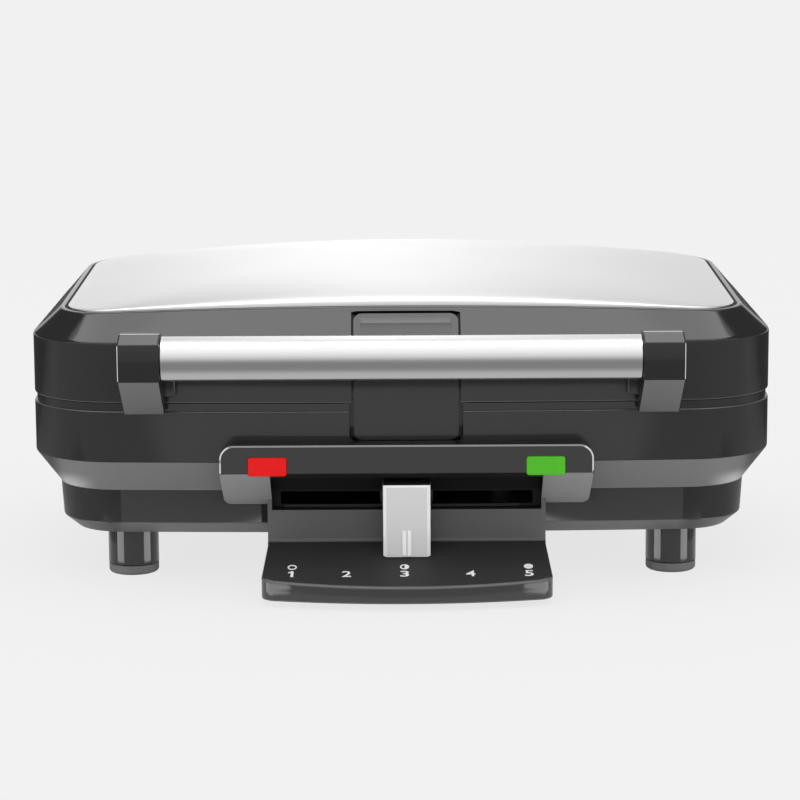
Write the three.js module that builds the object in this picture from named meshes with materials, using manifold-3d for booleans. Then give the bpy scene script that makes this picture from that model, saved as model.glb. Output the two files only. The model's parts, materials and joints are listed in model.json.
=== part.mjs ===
// A countertop Belgian waffle maker with a hinged lid, in millimetres.
// +Z is up, the front faces -Y, and +X is to the right of someone standing in front of it.
// The shells are modelled about the middle of the body, with z = 0 on the table under the rubber feet.
import * as THREE from 'three';
import { mergeVertices } from 'three/addons/utils/BufferGeometryUtils.js';
import Module from 'manifold-3d';

const wasm = await Module();
wasm.setup();

// Clearances and overruns
const seatGap = 0.3;
const runGap = 0.6;
const overrun = 6;
const weldDepth = 0.8;
const weldDistance = 0.001;

// Body seen from above
const bodyWidth = 394;
const bodyDepth = 240;
const bodyCorner = 48;
const leastCorner = 4;
const frontBow = 3.7;
const shellWall = 2.5;
const cornerSteps = 6;
const frontSteps = 4;

// Base shell, from the table up
const padHeight = 5;
const postHeight = 19.8;
const chamferHeight = 6.6;
const lowerWallHeight = 18.4;
const undercutHeight = 17.1;
const upperWallHeight = 27.1;
const bandHeight = 4.3;
const bottomInset = 22;
const chamferInset = 14;
const lowerInset = 13;
const bandInset = 1.2;
const bottomLip = 2.5;

// Lid shell and its steel cover
const lidWallHeight = 31.5;
const bevelInset = 15;
const bevelHeight = 12.6;
const rimCrown = 4.3;
const rimRise = 5.3;
const coverInset = 19;
const coverSheet = 0.8;
const coverLip = 0.6;
const seatDepth = 2;
const seatReach = 6;
const domeHeight = 12.2;
const domePower = 2.08;
const domeFullness = 0.4;
const domeStepShares = [1, 0.985, 0.94, 0.84, 0.66, 0.42, 0.16];
const bevelWallShare = 0.7;

// Baking plates
const partingDrop = 1.4;
const damGap = 0.3;
const plateInset = 24;
const plateFloor = 3;
const cavityDepth = 14;
const damWidth = 10;
const ridgeWidth = 8;
const wellDraft = 2;
const postColumns = 6;
const postRows = 3;
const ribWidth = 8;
const postRise = 11;
const postDraft = 3;
const flangeInset = 17;
const flangeSheet = 2.5;
const flangeDrop = 9.2;
const ledgeInset = 21;

// Plate fixings, reflectors and heaters
const boltSideInset = 77;
const boltEndInset = 60;
const bossRadius = 6;
const bossReach = 19.9;
const pilotRadius = 1.8;
const pilotDepth = 12;
const screwRadius = 1.5;
const screwLength = 11;
const screwHeadRadius = 4;
const screwHeadHeight = 2.4;
const reflectorSheet = 1.2;
const reflectorInset = 34;
const reflectorRim = 11;
const reflectorFlare = 3;
const reflectorHoleRadius = 2.3;
const heaterRadius = 3.3;
const heaterSideInset = 105;
const heaterEndInset = 74;
const heaterCorner = 22;
const heaterTailGap = 13;
const heaterTail = 16;
const heaterSteps = 44;
const heaterSides = 8;

// Bottom cover and feet
const coverPlate = 2.6;
const ventCount = 5;
const ventPitch = 11;
const ventHalfWidth = 2;
const ventHalfLength = 32;
const ventInset = 97;
const footSideInset = 51.7;
const footEndInset = 45;
const footRadius = 13.6;
const padRadius = 13.4;
const padChamfer = 1.2;
const roundSteps = 24;

// Handle
const barDiameter = 23;
const barStandOff = 22.5;
const barDrop = 4.1;
const barEndInset = 74.3;
const barWall = 1;
const spigotLength = 12;
const bracketWidth = 21.5;
const bracketLip = 0.6;
const bracketCrest = 13;
const bracketFacetDepth = 12;
const bracketFacetDrop = 6;
const bracketFrontDrop = 24.5;
const bracketTailDrop = 46.5;
const bracketTailGap = 2;
const bracketBackRise = 25;
const bossProud = 4.5;
const bossHeight = 24.5;
const bossRise = 4.3;
const bossSpare = 5.5;
const tieRodRadius = 2.5;
const nutRadius = 5;
const nutHeight = 4;
const nutSides = 6;
const counterboreDepth = 4.6;
const bracketScrewRadius = 1.9;
const bracketScrewHeadRadius = 4.2;
const bracketScrewHeadHeight = 2.4;
const bracketScrewLength = 12;
const smallSteps = 12;

// Latch in the middle of the front
const controlOffset = 2.4;
const latchHalfWidth = 27.3;
const latchSideGap = 1.2;
const latchSheet = 3;
const latchTopMargin = 2.4;
const latchTopGap = 1.7;
const latchDrop = 19.3;
const latchFoot = 1.1;
const latchFingerDepth = 0.9;
const latchFingerMargin = 3.6;
const latchPivotInset = 7.6;
const latchPivotDrop = 4.4;
const latchPinRadius = 2;
const latchLugRadius = 4.2;
const latchLugInner = 11;
const latchLugWidth = 8;
const latchPinSeat = 2.2;
const bayWall = 2.6;
const bayDepth = 13.4;
const bayRoofDepth = 19;
const bayRoofHeight = 9;
const bayRoofFall = 1.2;
const bayRoofWall = 2.2;
const hookThickness = 2.6;
const hookDrop = 10.5;
const strikeDepth = 5;
const strikeThickness = 2.4;
const strikeHalfWidth = 24;
const hookPassGap = 0.5;
const springWireRadius = 0.5;
const springTurns = 5;
const springPitch = 1.6;
const springStepsPerTurn = 8;
const springSides = 5;

// Control housing on the front of the base
const barHouseHalfWidth = 97;
const barHouseProud = 14;
const barHouseTop = 79;
const barHouseCorner = 11;
const barHouseEdge = 1.2;
const cheekBottom = 61.5;
const cheekStep = 2.4;
const cheekTail = 43;
const recessStep = 2.3;
const neckStep = 1.7;
const neckTop = 41;
const neckInset = 8;
const foldHeight = 23.5;
const shelfHalfWidth = 75;
const shelfReach = 50;
const shelfFall = 11.1;
const shelfThickness = 9;
const shelfSkin = 2.5;
const shelfFrontRadius = 300;
const shelfCorner = 9;
const shelfCornerSteps = 5;
const shelfFrontSteps = 10;
const lensEndInset = 24.8;
const lensWidth = 20.2;
const lensHeight = 10;
const lensBottom = 63.2;
const lensProud = 0.4;
const lensFlange = 1.6;
const lampRadius = 3;
const lampLength = 8;
const wireHoleRadius = 3.6;

// Browning slider and thermostat
const sliderEndGap = 0.7;
const knobWidth = 24.6;
const knobTop = 58;
const knobProud = 13.5;
const knobDepth = 15;
const knobEdge = 2;
const knobFloorGap = 1.2;
const knobWall = 2.4;
const pointerWidth = 4.6;
const pointerHeight = 13;
const pointerProud = 0.7;
const stemHalfWidth = 8;
const stemHeight = 6;
const stemCentre = 46;
const carriageHalfWidth = 14;
const carriageHeight = 16;
const carriageSheet = 2.4;
const carriageGap = 1.2;
const carriageArmSheet = 3;
const carriageArmHalfWidth = 5;
const forkPinInset = 38;
const forkPinRadius = 2;
const forkPinHeight = 11;
const forkPlay = 1.8;
const leverSheet = 2.5;
const leverHalfWidth = 8;
const leverLift = 2;
const leverReach = 17;
const slotStart = 6;
const hubRadius = 8;
const shaftRadius = 3;
const shaftGap = 0.2;
const shaftSeat = 7;
const thermostatInset = 26;
const thermostatWidth = 34;
const thermostatDepth = 28;
const thermostatHeight = 15;
const thermostatWindow = 22;
const fuseInset = 36;
const fuseRadius = 2.6;
const fuseLength = 16;

// Hinges and cord inlet at the back
const hingeInset = 87;
const hingeStandOff = 7;
const knuckleRadius = 5;
const knuckleHalfWidth = 10;
const earThickness = 4;
const hingePinRadius = 2;
const hingePinGap = 0.25;
const hingePlate = 2.5;
const basePlateTop = 5.5;
const basePlateHeight = 22;
const lidPlateRise = 5.6;
const lidPlateHeight = 19;
const glandX = 60;
const glandRise = 7.5;
const glandRadius = 7;
const glandFlangeRadius = 9.5;
const glandFlange = 4;
const glandBoreRadius = 3.6;
const glandInside = 6;
const loomRadius = 2.5;
const loomClear = 3;
const loomSteps = 22;
const loomSides = 8;

// Heights and planes worked out from the sizes above
const halfWidth = bodyWidth / 2;
const halfDepth = bodyDepth / 2;
const baseBottom = padHeight + seatGap + postHeight + seatGap;
const chamferTop = baseBottom + chamferHeight;
const lowerTop = chamferTop + lowerWallHeight;
const wideBottom = lowerTop + undercutHeight;
const bandBottom = wideBottom + upperWallHeight;
const baseRim = bandBottom + bandHeight;
const lidBottom = baseRim + seatGap;
const lidWallTop = lidBottom + lidWallHeight;
const partingHeight = baseRim - partingDrop;
const coverHalfWidth = halfWidth - coverInset;
const coverHalfDepth = halfDepth - coverInset;
const lowerFront = halfDepth - lowerInset;
const boltX = halfWidth - boltSideInset;
const boltY = halfDepth - boltEndInset;
const heaterHalfWidth = halfWidth - heaterSideInset;
const heaterHalfDepth = halfDepth - heaterEndInset;
const ventOffset = halfWidth - ventInset;
const footX = halfWidth - footSideInset;
const footY = halfDepth - footEndInset;
const barHalfLength = halfWidth - barEndInset;
const lensOffset = barHouseHalfWidth - lensEndInset;
const neckHalfWidth = shelfHalfWidth - neckStep;
const recessHalfWidth = neckHalfWidth - recessStep;
const sliderTravel = recessHalfWidth - knobWidth / 2 - sliderEndGap;
const thermostatY = heaterHalfDepth - thermostatInset;
const fuseX = heaterHalfWidth - fuseInset;
const hingeX = halfWidth - hingeInset;
const glandHeight = chamferTop + glandRise;
const forkPinY = forkPinInset - halfDepth;
const leverLength = thermostatY - forkPinY;

function ledgeHeight(x, y) {
  const crown = rimCrown * (1 - (x / coverHalfWidth) ** 2);
  const rise = rimRise * (y + coverHalfDepth) / (2 * coverHalfDepth);
  return lidWallTop + bevelHeight + crown + rise;
}

const lidSeat = (x, y) => ledgeHeight(x, y) - seatDepth;
const bevelTop = ledgeHeight(0, bevelInset - halfDepth);

// Closed solids from three.js geometry
function solid(shape) {
  if (!shape.isBufferGeometry) return shape;
  const bare = new THREE.BufferGeometry();
  bare.setAttribute('position', shape.getAttribute('position'));
  bare.setIndex(shape.index);
  const merged = mergeVertices(bare, weldDistance);
  const points = merged.getAttribute('position').array;
  const corners = [];
  let volume = 0;
  for (let i = 0; i < merged.index.count; i += 3) {
    const [a, b, c] = merged.index.array.slice(i, i + 3);
    if (a === b || b === c || a === c) continue;
    corners.push(a, b, c);
    const [p, q, r] = [a, b, c].map((k) => new THREE.Vector3().fromArray(points, k * 3));
    volume += p.dot(q.cross(r));
  }
  if (volume < 0) corners.reverse();
  const mesh = { numProp: 3, vertProperties: points, triVerts: new Uint32Array(corners) };
  return new wasm.Manifold(new wasm.Mesh(mesh));
}

const join = (...shapes) => shapes.map(solid).reduce((whole, next) => whole.add(next));
const cut = (shape, ...tools) => tools.map(solid).reduce((rest, tool) => rest.subtract(tool), solid(shape));
const common = (shape, other) => solid(shape).intersect(solid(other));

function block([x0, x1], [y0, y1], [z0, z1]) {
  const geometry = new THREE.BoxGeometry(x1 - x0, y1 - y0, z1 - z0);
  return geometry.translate((x0 + x1) / 2, (y0 + y1) / 2, (z0 + z1) / 2);
}

// A block whose top and bottom have their own half sizes, for drafted wells and posts
function frustum([x, y], [lowX, lowY], [highX, highY], [z0, z1]) {
  const geometry = new THREE.BoxGeometry(2, 2, 2);
  const place = geometry.getAttribute('position');
  for (let i = 0; i < place.count; i += 1) {
    const high = place.getZ(i) > 0;
    place.setXYZ(
      i,
      x + place.getX(i) * (high ? highX : lowX),
      y + place.getY(i) * (high ? highY : lowY),
      high ? z1 : z0,
    );
  }
  return geometry;
}

// Turned about +Z from a profile of radius and height, then laid along another axis if asked
function turned(profile, steps, axis = 'z') {
  const geometry = new THREE.LatheGeometry(profile.map(([r, h]) => new THREE.Vector2(r, h)), steps);
  geometry.rotateX(Math.PI / 2);
  if (axis === 'x') geometry.rotateY(Math.PI / 2);
  if (axis === 'y') geometry.rotateX(-Math.PI / 2);
  return geometry;
}

const rod = (radius, [from, to], steps, axis) =>
  turned([[0, from], [radius, from], [radius, to], [0, to]], steps, axis);

// A side view in y and z, carried along x
function carriedX(outline, [x0, x1]) {
  const shape = new THREE.Shape(outline.map(([y, z]) => new THREE.Vector2(y, z)));
  const geometry = new THREE.ExtrudeGeometry(shape, { depth: x1 - x0, bevelEnabled: false });
  const basis = new THREE.Matrix4().makeBasis(
    new THREE.Vector3(0, 1, 0),
    new THREE.Vector3(0, 0, 1),
    new THREE.Vector3(1, 0, 0),
  );
  return geometry.applyMatrix4(basis).translate(x0, 0, 0);
}

// A front view in x and z, carried along y
function carriedY(outline, [y0, y1]) {
  const shape = new THREE.Shape(outline.map(([x, z]) => new THREE.Vector2(x, z)));
  const geometry = new THREE.ExtrudeGeometry(shape, { depth: y1 - y0, bevelEnabled: false });
  return geometry.rotateX(Math.PI / 2).translate(0, y1, 0);
}

// A plan in x and y between a floor and a ceiling that may slope
function between(outline, floorAt, ceilingAt) {
  const shape = new THREE.Shape(outline.map(([x, y]) => new THREE.Vector2(x, y)));
  const geometry = new THREE.ExtrudeGeometry(shape, { depth: 1, bevelEnabled: false });
  const place = geometry.getAttribute('position');
  for (let i = 0; i < place.count; i += 1) {
    const [x, y] = [place.getX(i), place.getY(i)];
    place.setZ(i, place.getZ(i) > 0.5 ? ceilingAt(x, y) : floorAt(x, y));
  }
  return geometry;
}

function arc([x, y], radius, from, to, steps) {
  const points = [];
  for (let i = 0; i <= steps; i += 1) {
    const angle = THREE.MathUtils.degToRad(from + (to - from) * i / steps);
    points.push([x + radius * Math.cos(angle), y + radius * Math.sin(angle)]);
  }
  return points;
}

// The body's plan at an inset from its widest outline
function plan(inset) {
  const [hw, hd] = [halfWidth - inset, halfDepth - inset];
  const r = Math.max(bodyCorner - inset, leastCorner);
  const straight = hw - r;
  const points = [];
  for (let i = 0; i <= frontSteps; i += 1) {
    const x = straight * (2 * i / frontSteps - 1);
    points.push([x, frontBow * (x / straight) ** 2 - hd]);
  }
  const frontY = frontBow + r - hd;
  points.push(...arc([straight, frontY], r, -90, 0, cornerSteps).slice(1));
  points.push(...arc([straight, hd - r], r, 0, 90, cornerSteps));
  points.push(...arc([-straight, hd - r], r, 90, 180, cornerSteps));
  points.push(...arc([-straight, frontY], r, 180, 270, cornerSteps).slice(0, -1));
  return points;
}

function ring(inset, height, share = 1) {
  return plan(inset).map(([x, y]) => {
    const [px, py] = [x * share, y * share];
    return [px, py, typeof height === 'function' ? height(px, py) : height];
  });
}

// A skin over a stack of rings: a sleeve joins its last ring to its first, any other stack is capped
function loft(rings, sleeve) {
  const n = rings[0].length;
  const points = rings.flat();
  const corners = [];
  const last = sleeve ? rings.length : rings.length - 1;
  for (let k = 0; k < last; k += 1) {
    const [low, high] = [k * n, ((k + 1) % rings.length) * n];
    for (let i = 0; i < n; i += 1) {
      const j = (i + 1) % n;
      corners.push(low + i, low + j, high + j, low + i, high + j, high + i);
    }
  }
  if (!sleeve) {
    const centre = (loop) => loop.reduce((sum, p) => sum.map((v, k) => v + p[k] / n), [0, 0, 0]);
    const top = (rings.length - 1) * n;
    points.push(centre(rings[0]), centre(rings[rings.length - 1]));
    for (let i = 0; i < n; i += 1) {
      const j = (i + 1) % n;
      corners.push(points.length - 2, j, i, points.length - 1, top + i, top + j);
    }
  }
  const geometry = new THREE.BufferGeometry();
  geometry.setAttribute('position', new THREE.Float32BufferAttribute(points.flat(), 3));
  geometry.setIndex(corners);
  return geometry;
}

const sleeve = (profile) => loft(profile.map(([inset, height]) => ring(inset, height)), true);
const capped = (profile) => loft(profile.map(([inset, height]) => ring(inset, height)), false);

function tube(points, radius, steps, sides, straight) {
  const circle = arc([0, 0], radius, 0, 360, sides).slice(0, -1);
  const section = new THREE.Shape(circle.map(([x, y]) => new THREE.Vector2(x, y)));
  const path = new THREE.CurvePath();
  if (straight) {
    for (let i = 1; i < points.length; i += 1) path.add(new THREE.LineCurve3(points[i - 1], points[i]));
  } else {
    path.add(new THREE.CatmullRomCurve3(points, false, 'centripetal'));
  }
  const route = straight ? path : path.curves[0];
  return new THREE.ExtrudeGeometry(section, { steps, extrudePath: route, bevelEnabled: false });
}

// The span from near to far on the left (-1) or the right (1) of the middle
const outward = (s, near, far) => (s > 0 ? [near, far] : [-far, -near]);
const vector = (x, y, z) => new THREE.Vector3(x, y, z);
const atControls = (geometry) => geometry.translate(controlOffset, 0, 0);

// Finishes and the part's tree
const finishes = {
  glossBlack: { color: '#1b1b1d', roughness: 0.22, metalness: 0 },
  satinBlack: { color: '#232325', roughness: 0.5, metalness: 0 },
  brushedSteel: { color: '#d9d9da', roughness: 0.3, metalness: 1 },
  silver: { color: '#c4c5c7', roughness: 0.32, metalness: 0.9 },
  nonStick: { color: '#2a2a2c', roughness: 0.45, metalness: 0.3 },
  bareSteel: { color: '#a9abae', roughness: 0.38, metalness: 1 },
  reflector: { color: '#c2c4c6', roughness: 0.25, metalness: 1 },
  heater: { color: '#55565a', roughness: 0.55, metalness: 0.7 },
  ceramic: { color: '#e4e0d6', roughness: 0.7, metalness: 0 },
  rubber: { color: '#47484a', roughness: 0.85, metalness: 0 },
  redLens: { color: '#e01820', roughness: 0.15, metalness: 0 },
  greenLens: { color: '#35b520', roughness: 0.15, metalness: 0 },
  lampGlass: { color: '#f2ede0', roughness: 0.1, metalness: 0 },
  loom: { color: '#b9b29c', roughness: 0.8, metalness: 0 },
};

const wafflemaker = new THREE.Group();
const base = new THREE.Group();
const lid = new THREE.Group();
const latch = new THREE.Group();
const slider = new THREE.Group();
const lever = new THREE.Group();
wafflemaker.add(base, lid);
lid.add(latch);
base.add(slider, lever);

function piece(group, name, shape, finish, place = [0, 0, 0]) {
  const { vertProperties, triVerts } = solid(shape).getMesh();
  const geometry = new THREE.BufferGeometry();
  geometry.setAttribute('position', new THREE.BufferAttribute(vertProperties, 3));
  geometry.setIndex(new THREE.BufferAttribute(triVerts, 1));
  geometry.computeVertexNormals();
  const mesh = new THREE.Mesh(geometry, new THREE.MeshStandardMaterial(finishes[finish]));
  mesh.name = name;
  mesh.position.set(...place);
  group.add(mesh);
}

const sides = [['left', -1], ['right', 1]];
const ends = [['front', -1], ['rear', 1]];

// Base shell
const baseProfile = [
  [bottomInset, baseBottom],
  [chamferInset, chamferTop],
  [lowerInset, lowerTop],
  [0, wideBottom],
  [0, bandBottom],
];
const undercutWall = shellWall / Math.sin(Math.atan2(undercutHeight, lowerInset));
const plateLedge = partingHeight - flangeDrop - seatGap;
const latchBottom = baseRim - latchDrop;
const bayFloor = latchBottom - latchFoot;

function baseShell() {
  const shell = sleeve([
    ...baseProfile,
    [bandInset, bandBottom],
    [bandInset, baseRim],
    [bandInset + shellWall, baseRim],
    [bandInset + shellWall, plateLedge],
    [ledgeInset, plateLedge],
    [ledgeInset, plateLedge - shellWall],
    [shellWall, plateLedge - shellWall],
    [undercutWall, wideBottom],
    [lowerInset + undercutWall, lowerTop],
    [chamferInset + undercutWall, chamferTop],
    [bottomInset + bottomLip, baseBottom + shellWall],
    [bottomInset + bottomLip, baseBottom],
  ]);
  const notch = latchHalfWidth + 2 * latchSideGap;
  const bayX = notch + bayWall;
  const bay = atControls(block(
    [-bayX, bayX],
    [shellWall / 2 - halfDepth, bayDepth + bayWall - halfDepth],
    [bayFloor - bayWall, baseRim],
  ));
  const pocket = atControls(block(
    [-notch, notch],
    [-halfDepth - overrun, bayDepth - halfDepth],
    [bayFloor, baseRim + overrun],
  ));
  const slotX = sliderTravel + stemHalfWidth + runGap;
  const slotZ = stemHeight / 2 + runGap;
  const slot = atControls(block(
    [-slotX, slotX],
    [-lowerFront - overrun, overrun + undercutWall - lowerFront],
    [stemCentre - slotZ, stemCentre + slotZ],
  ));
  const glandHole = rod(glandRadius + seatGap, [lowerFront - overrun, lowerFront + overrun], roundSteps, 'y');
  const wireHoles = sides.map(([, s]) => {
    const hole = rod(wireHoleRadius, [-halfDepth - overrun, overrun - halfDepth], smallSteps, 'y');
    return atControls(hole.translate(s * lensOffset, 0, lampCentre));
  });
  return cut(join(shell, bay), pocket, slot, glandHole.translate(glandX, 0, glandHeight), ...wireHoles);
}

const lampCentre = lensBottom + lensHeight / 2;
piece(base, 'base_shell', baseShell(), 'glossBlack');

// Bottom cover with its vent slots
function bottomCover() {
  const inset = bottomInset + bottomLip + seatGap;
  const plate = capped([[inset, baseBottom], [inset, baseBottom + coverPlate]]);
  const vents = [];
  for (let i = 0; i < ventCount; i += 1) {
    for (const s of [-1, 1]) {
      const x = s * ventOffset + (i - (ventCount - 1) / 2) * ventPitch;
      vents.push(block(
        [x - ventHalfWidth, x + ventHalfWidth],
        [-ventHalfLength, ventHalfLength],
        [baseBottom - overrun, baseBottom + overrun],
      ));
    }
  }
  return cut(plate, ...vents);
}

piece(base, 'base_bottom_cover', bottomCover(), 'satinBlack');

// Feet: a glossy post and a rubber pad at each corner
const footPost = rod(footRadius, [padHeight + seatGap, padHeight + seatGap + postHeight], roundSteps);
const footPad = turned(
  [[0, 0], [padRadius - padChamfer, 0], [padRadius, padChamfer], [padRadius, padHeight], [0, padHeight]],
  roundSteps,
);
for (const [end, e] of ends) {
  for (const [side, s] of sides) {
    piece(base, `foot_post_${end}_${side}`, footPost, 'glossBlack', [s * footX, e * footY, 0]);
    piece(base, `foot_pad_${end}_${side}`, footPad, 'rubber', [s * footX, e * footY, 0]);
  }
}

// One waffle plate, drawn below its parting plane at z = 0; the upper plate is its mirror image
const plateHalfWidth = halfWidth - plateInset;
const plateHalfDepth = halfDepth - plateInset;
const plateBack = cavityDepth + plateFloor;
const wellHalfX = (plateHalfWidth - damWidth - ridgeWidth / 2) / 2;
const wellHalfY = (plateHalfDepth - damWidth - ridgeWidth / 2) / 2;

function wafflePlate() {
  const body = join(
    capped([[plateInset, -plateBack], [plateInset, -damGap]]),
    capped([[flangeInset, -flangeDrop], [flangeInset, flangeSheet - flangeDrop]]),
  );
  const wells = [];
  const posts = [];
  for (const [sx, sy] of [[-1, -1], [1, -1], [-1, 1], [1, 1]]) {
    const [cx, cy] = [sx * (ridgeWidth / 2 + wellHalfX), sy * (ridgeWidth / 2 + wellHalfY)];
    const low = [wellHalfX - wellDraft, wellHalfY - wellDraft];
    wells.push(frustum([cx, cy], low, [wellHalfX, wellHalfY], [-cavityDepth, 0]));
    const [pitchX, pitchY] = [2 * low[0] / postColumns, 2 * low[1] / postRows];
    const foot = [(pitchX - ribWidth) / 2 + postDraft / 2, (pitchY - ribWidth) / 2 + postDraft / 2];
    const tip = [foot[0] - postDraft, foot[1] - postDraft];
    for (let i = 0; i < postColumns; i += 1) {
      for (let j = 0; j < postRows; j += 1) {
        const x = cx + (i - (postColumns - 1) / 2) * pitchX;
        const y = cy + (j - (postRows - 1) / 2) * pitchY;
        posts.push(frustum([x, y], foot, tip, [-cavityDepth - weldDepth, postRise - cavityDepth]));
      }
    }
  }
  const bosses = [];
  const pilots = [];
  for (const [sx, sy] of [[-1, -1], [1, -1], [-1, 1], [1, 1]]) {
    const end = -plateBack - bossReach;
    const boss = rod(bossRadius, [end, weldDepth - plateBack], smallSteps);
    const pilot = rod(pilotRadius, [end - overrun, end + pilotDepth], smallSteps);
    bosses.push(boss.translate(sx * boltX, sy * boltY, 0));
    pilots.push(pilot.translate(sx * boltX, sy * boltY, 0));
  }
  return cut(join(cut(body, ...wells), ...posts, ...bosses), ...pilots);
}

// Turns a solid that is drawn under the parting plane over, for its place in the lid
function overParting(shape) {
  const { vertProperties, triVerts } = solid(shape).getMesh();
  const geometry = new THREE.BufferGeometry();
  geometry.setAttribute('position', new THREE.BufferAttribute(vertProperties.slice(), 3));
  geometry.setIndex(new THREE.BufferAttribute(triVerts, 1));
  return geometry.scale(1, 1, -1);
}

const plate = wafflePlate();
piece(base, 'lower_plate', plate, 'nonStick', [0, 0, partingHeight]);
piece(lid, 'upper_plate', overParting(plate), 'nonStick', [0, 0, partingHeight]);

// Heater, reflector and plate screws of one half, again drawn below the parting plane
const reflectorTop = -plateBack - bossReach - seatGap;

function heater() {
  const z = -plateBack - seatGap - heaterRadius;
  const [w, d, r, gap] = [heaterHalfWidth, heaterHalfDepth, heaterCorner, heaterTailGap];
  const flat = [
    [gap, d], [w / 2, d], [w - r, d], ...arc([w - r, d - r], r, 80, 10, 3), [w, 0],
    ...arc([w - r, r - d], r, -10, -80, 3), [w / 2, -d], [0, -d],
  ];
  const left = flat.slice(0, -1).map(([x, y]) => [-x, y]);
  const loop = [...flat, ...left.reverse()].map(([x, y]) => vector(x, y, z));
  return tube(loop, heaterRadius, heaterSteps, heaterSides, false);
}

function heaterTails() {
  const z = -plateBack - seatGap - heaterRadius;
  return sides.map(([, s]) => {
    const tail = rod(heaterRadius, [z - heaterTail, z + heaterRadius / 2], heaterSides);
    return tail.translate(s * heaterTailGap, heaterHalfDepth, 0);
  });
}

function reflector(window) {
  const [inset, t] = [reflectorInset, reflectorSheet];
  const tray = capped([
    [inset + t, reflectorTop],
    [inset + t - reflectorFlare, reflectorTop + reflectorRim],
    [inset - reflectorFlare, reflectorTop + reflectorRim],
    [inset, reflectorTop - t],
  ]);
  const holes = [];
  for (const [sx, sy] of [[-1, -1], [1, -1], [-1, 1], [1, 1]]) {
    const hole = rod(reflectorHoleRadius, [reflectorTop - overrun, reflectorTop + overrun], smallSteps);
    holes.push(hole.translate(sx * boltX, sy * boltY, 0));
  }
  const tailHole = block(
    [-heaterTailGap - 2 * heaterRadius, heaterTailGap + 2 * heaterRadius],
    [heaterHalfDepth - 2 * heaterRadius, heaterHalfDepth + 2 * heaterRadius],
    [reflectorTop - overrun, reflectorTop + overrun],
  );
  return cut(tray, ...holes, tailHole, ...window);
}

const thermostatHole = block(
  [-thermostatWindow, thermostatWindow],
  [thermostatY - thermostatWindow, thermostatY + thermostatWindow],
  [reflectorTop - overrun, reflectorTop + overrun],
);
const element = join(heater(), ...heaterTails());
piece(base, 'lower_heater', element, 'heater', [0, 0, partingHeight]);
piece(lid, 'upper_heater', overParting(element), 'heater', [0, 0, partingHeight]);
piece(base, 'lower_reflector', reflector([thermostatHole]), 'reflector', [0, 0, partingHeight]);
piece(lid, 'upper_reflector', overParting(reflector([])), 'reflector', [0, 0, partingHeight]);

function plateScrew() {
  const under = reflectorTop - reflectorSheet - seatGap;
  return turned([
    [0, under - screwHeadHeight],
    [screwHeadRadius, under - screwHeadHeight],
    [screwHeadRadius, under],
    [screwRadius, under],
    [screwRadius, under + screwLength],
    [0, under + screwLength],
  ], smallSteps);
}

const screw = plateScrew();
const screwOver = overParting(screw);
for (const [end, e] of ends) {
  for (const [side, s] of sides) {
    const place = [s * boltX, e * boltY, partingHeight];
    piece(base, `lower_plate_screw_${end}_${side}`, screw, 'bareSteel', place);
    piece(lid, `upper_plate_screw_${end}_${side}`, screwOver, 'bareSteel', place);
  }
}

// Lid shell, with a boss for each handle bracket and a bay for the latch
const barAxisY = -halfDepth - barStandOff;
const barAxisZ = lidWallTop - barDrop;
const bracketInner = barHalfLength + seatGap;
const bracketOuter = bracketInner + bracketWidth;
const bossFront = -halfDepth - bossProud;
const bossBottom = lidBottom + bossRise;
const bossScrewZ = bossBottom + bossHeight / 2;
const screwHeadY = frontBow + shellWall - halfDepth;

// A point on the middle of the front bevel, measured down from its top edge, and set in by a depth
function onBevel(down, depth) {
  const slope = new THREE.Vector2(bevelInset, bevelTop - lidWallTop).normalize();
  const y = bevelInset - halfDepth - slope.x * down + slope.y * depth;
  const z = bevelTop - slope.y * down - slope.x * depth;
  return [y, z];
}

const notchTopInner = onBevel(latchTopMargin, shellWall);

function latchBay() {
  const x = latchHalfWidth + latchSideGap + bayWall;
  const roof = lidSeat(x, -coverHalfDepth) - seatGap;
  return carriedX([
    [shellWall / 2 - halfDepth, lidBottom],
    [shellWall / 2 - halfDepth, lidWallTop - shellWall / 2],
    onBevel(latchTopMargin + latchTopGap, shellWall / 2),
    [notchTopInner[0], roof],
    [bayRoofDepth + bayRoofWall - halfDepth, roof],
    [bayRoofDepth + bayRoofWall - halfDepth, roof - bayRoofHeight],
    [bayDepth + bayWall - halfDepth, lidWallTop - bayRoofHeight],
    [bayDepth + bayWall - halfDepth, lidBottom],
  ], [-x, x]);
}

function latchPocket() {
  const x = latchHalfWidth + latchSideGap;
  const out = onBevel(latchTopMargin, -2 * overrun);
  return carriedX([
    [-halfDepth - overrun, lidBottom - overrun],
    [-halfDepth - overrun, lidWallTop],
    out,
    notchTopInner,
    [bayRoofDepth - halfDepth, notchTopInner[1] - bayRoofFall],
    [bayRoofDepth - halfDepth, notchTopInner[1] - bayRoofHeight],
    [bayDepth - halfDepth, lidWallTop - bayRoofHeight],
    [bayDepth - halfDepth, lidBottom - overrun],
  ], [-x, x]);
}

const latchAxisY = latchPivotInset - halfDepth;
const latchAxisZ = lidWallTop - latchPivotDrop;
const latchPinHalf = latchHalfWidth + latchSideGap + latchPinSeat;

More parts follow.
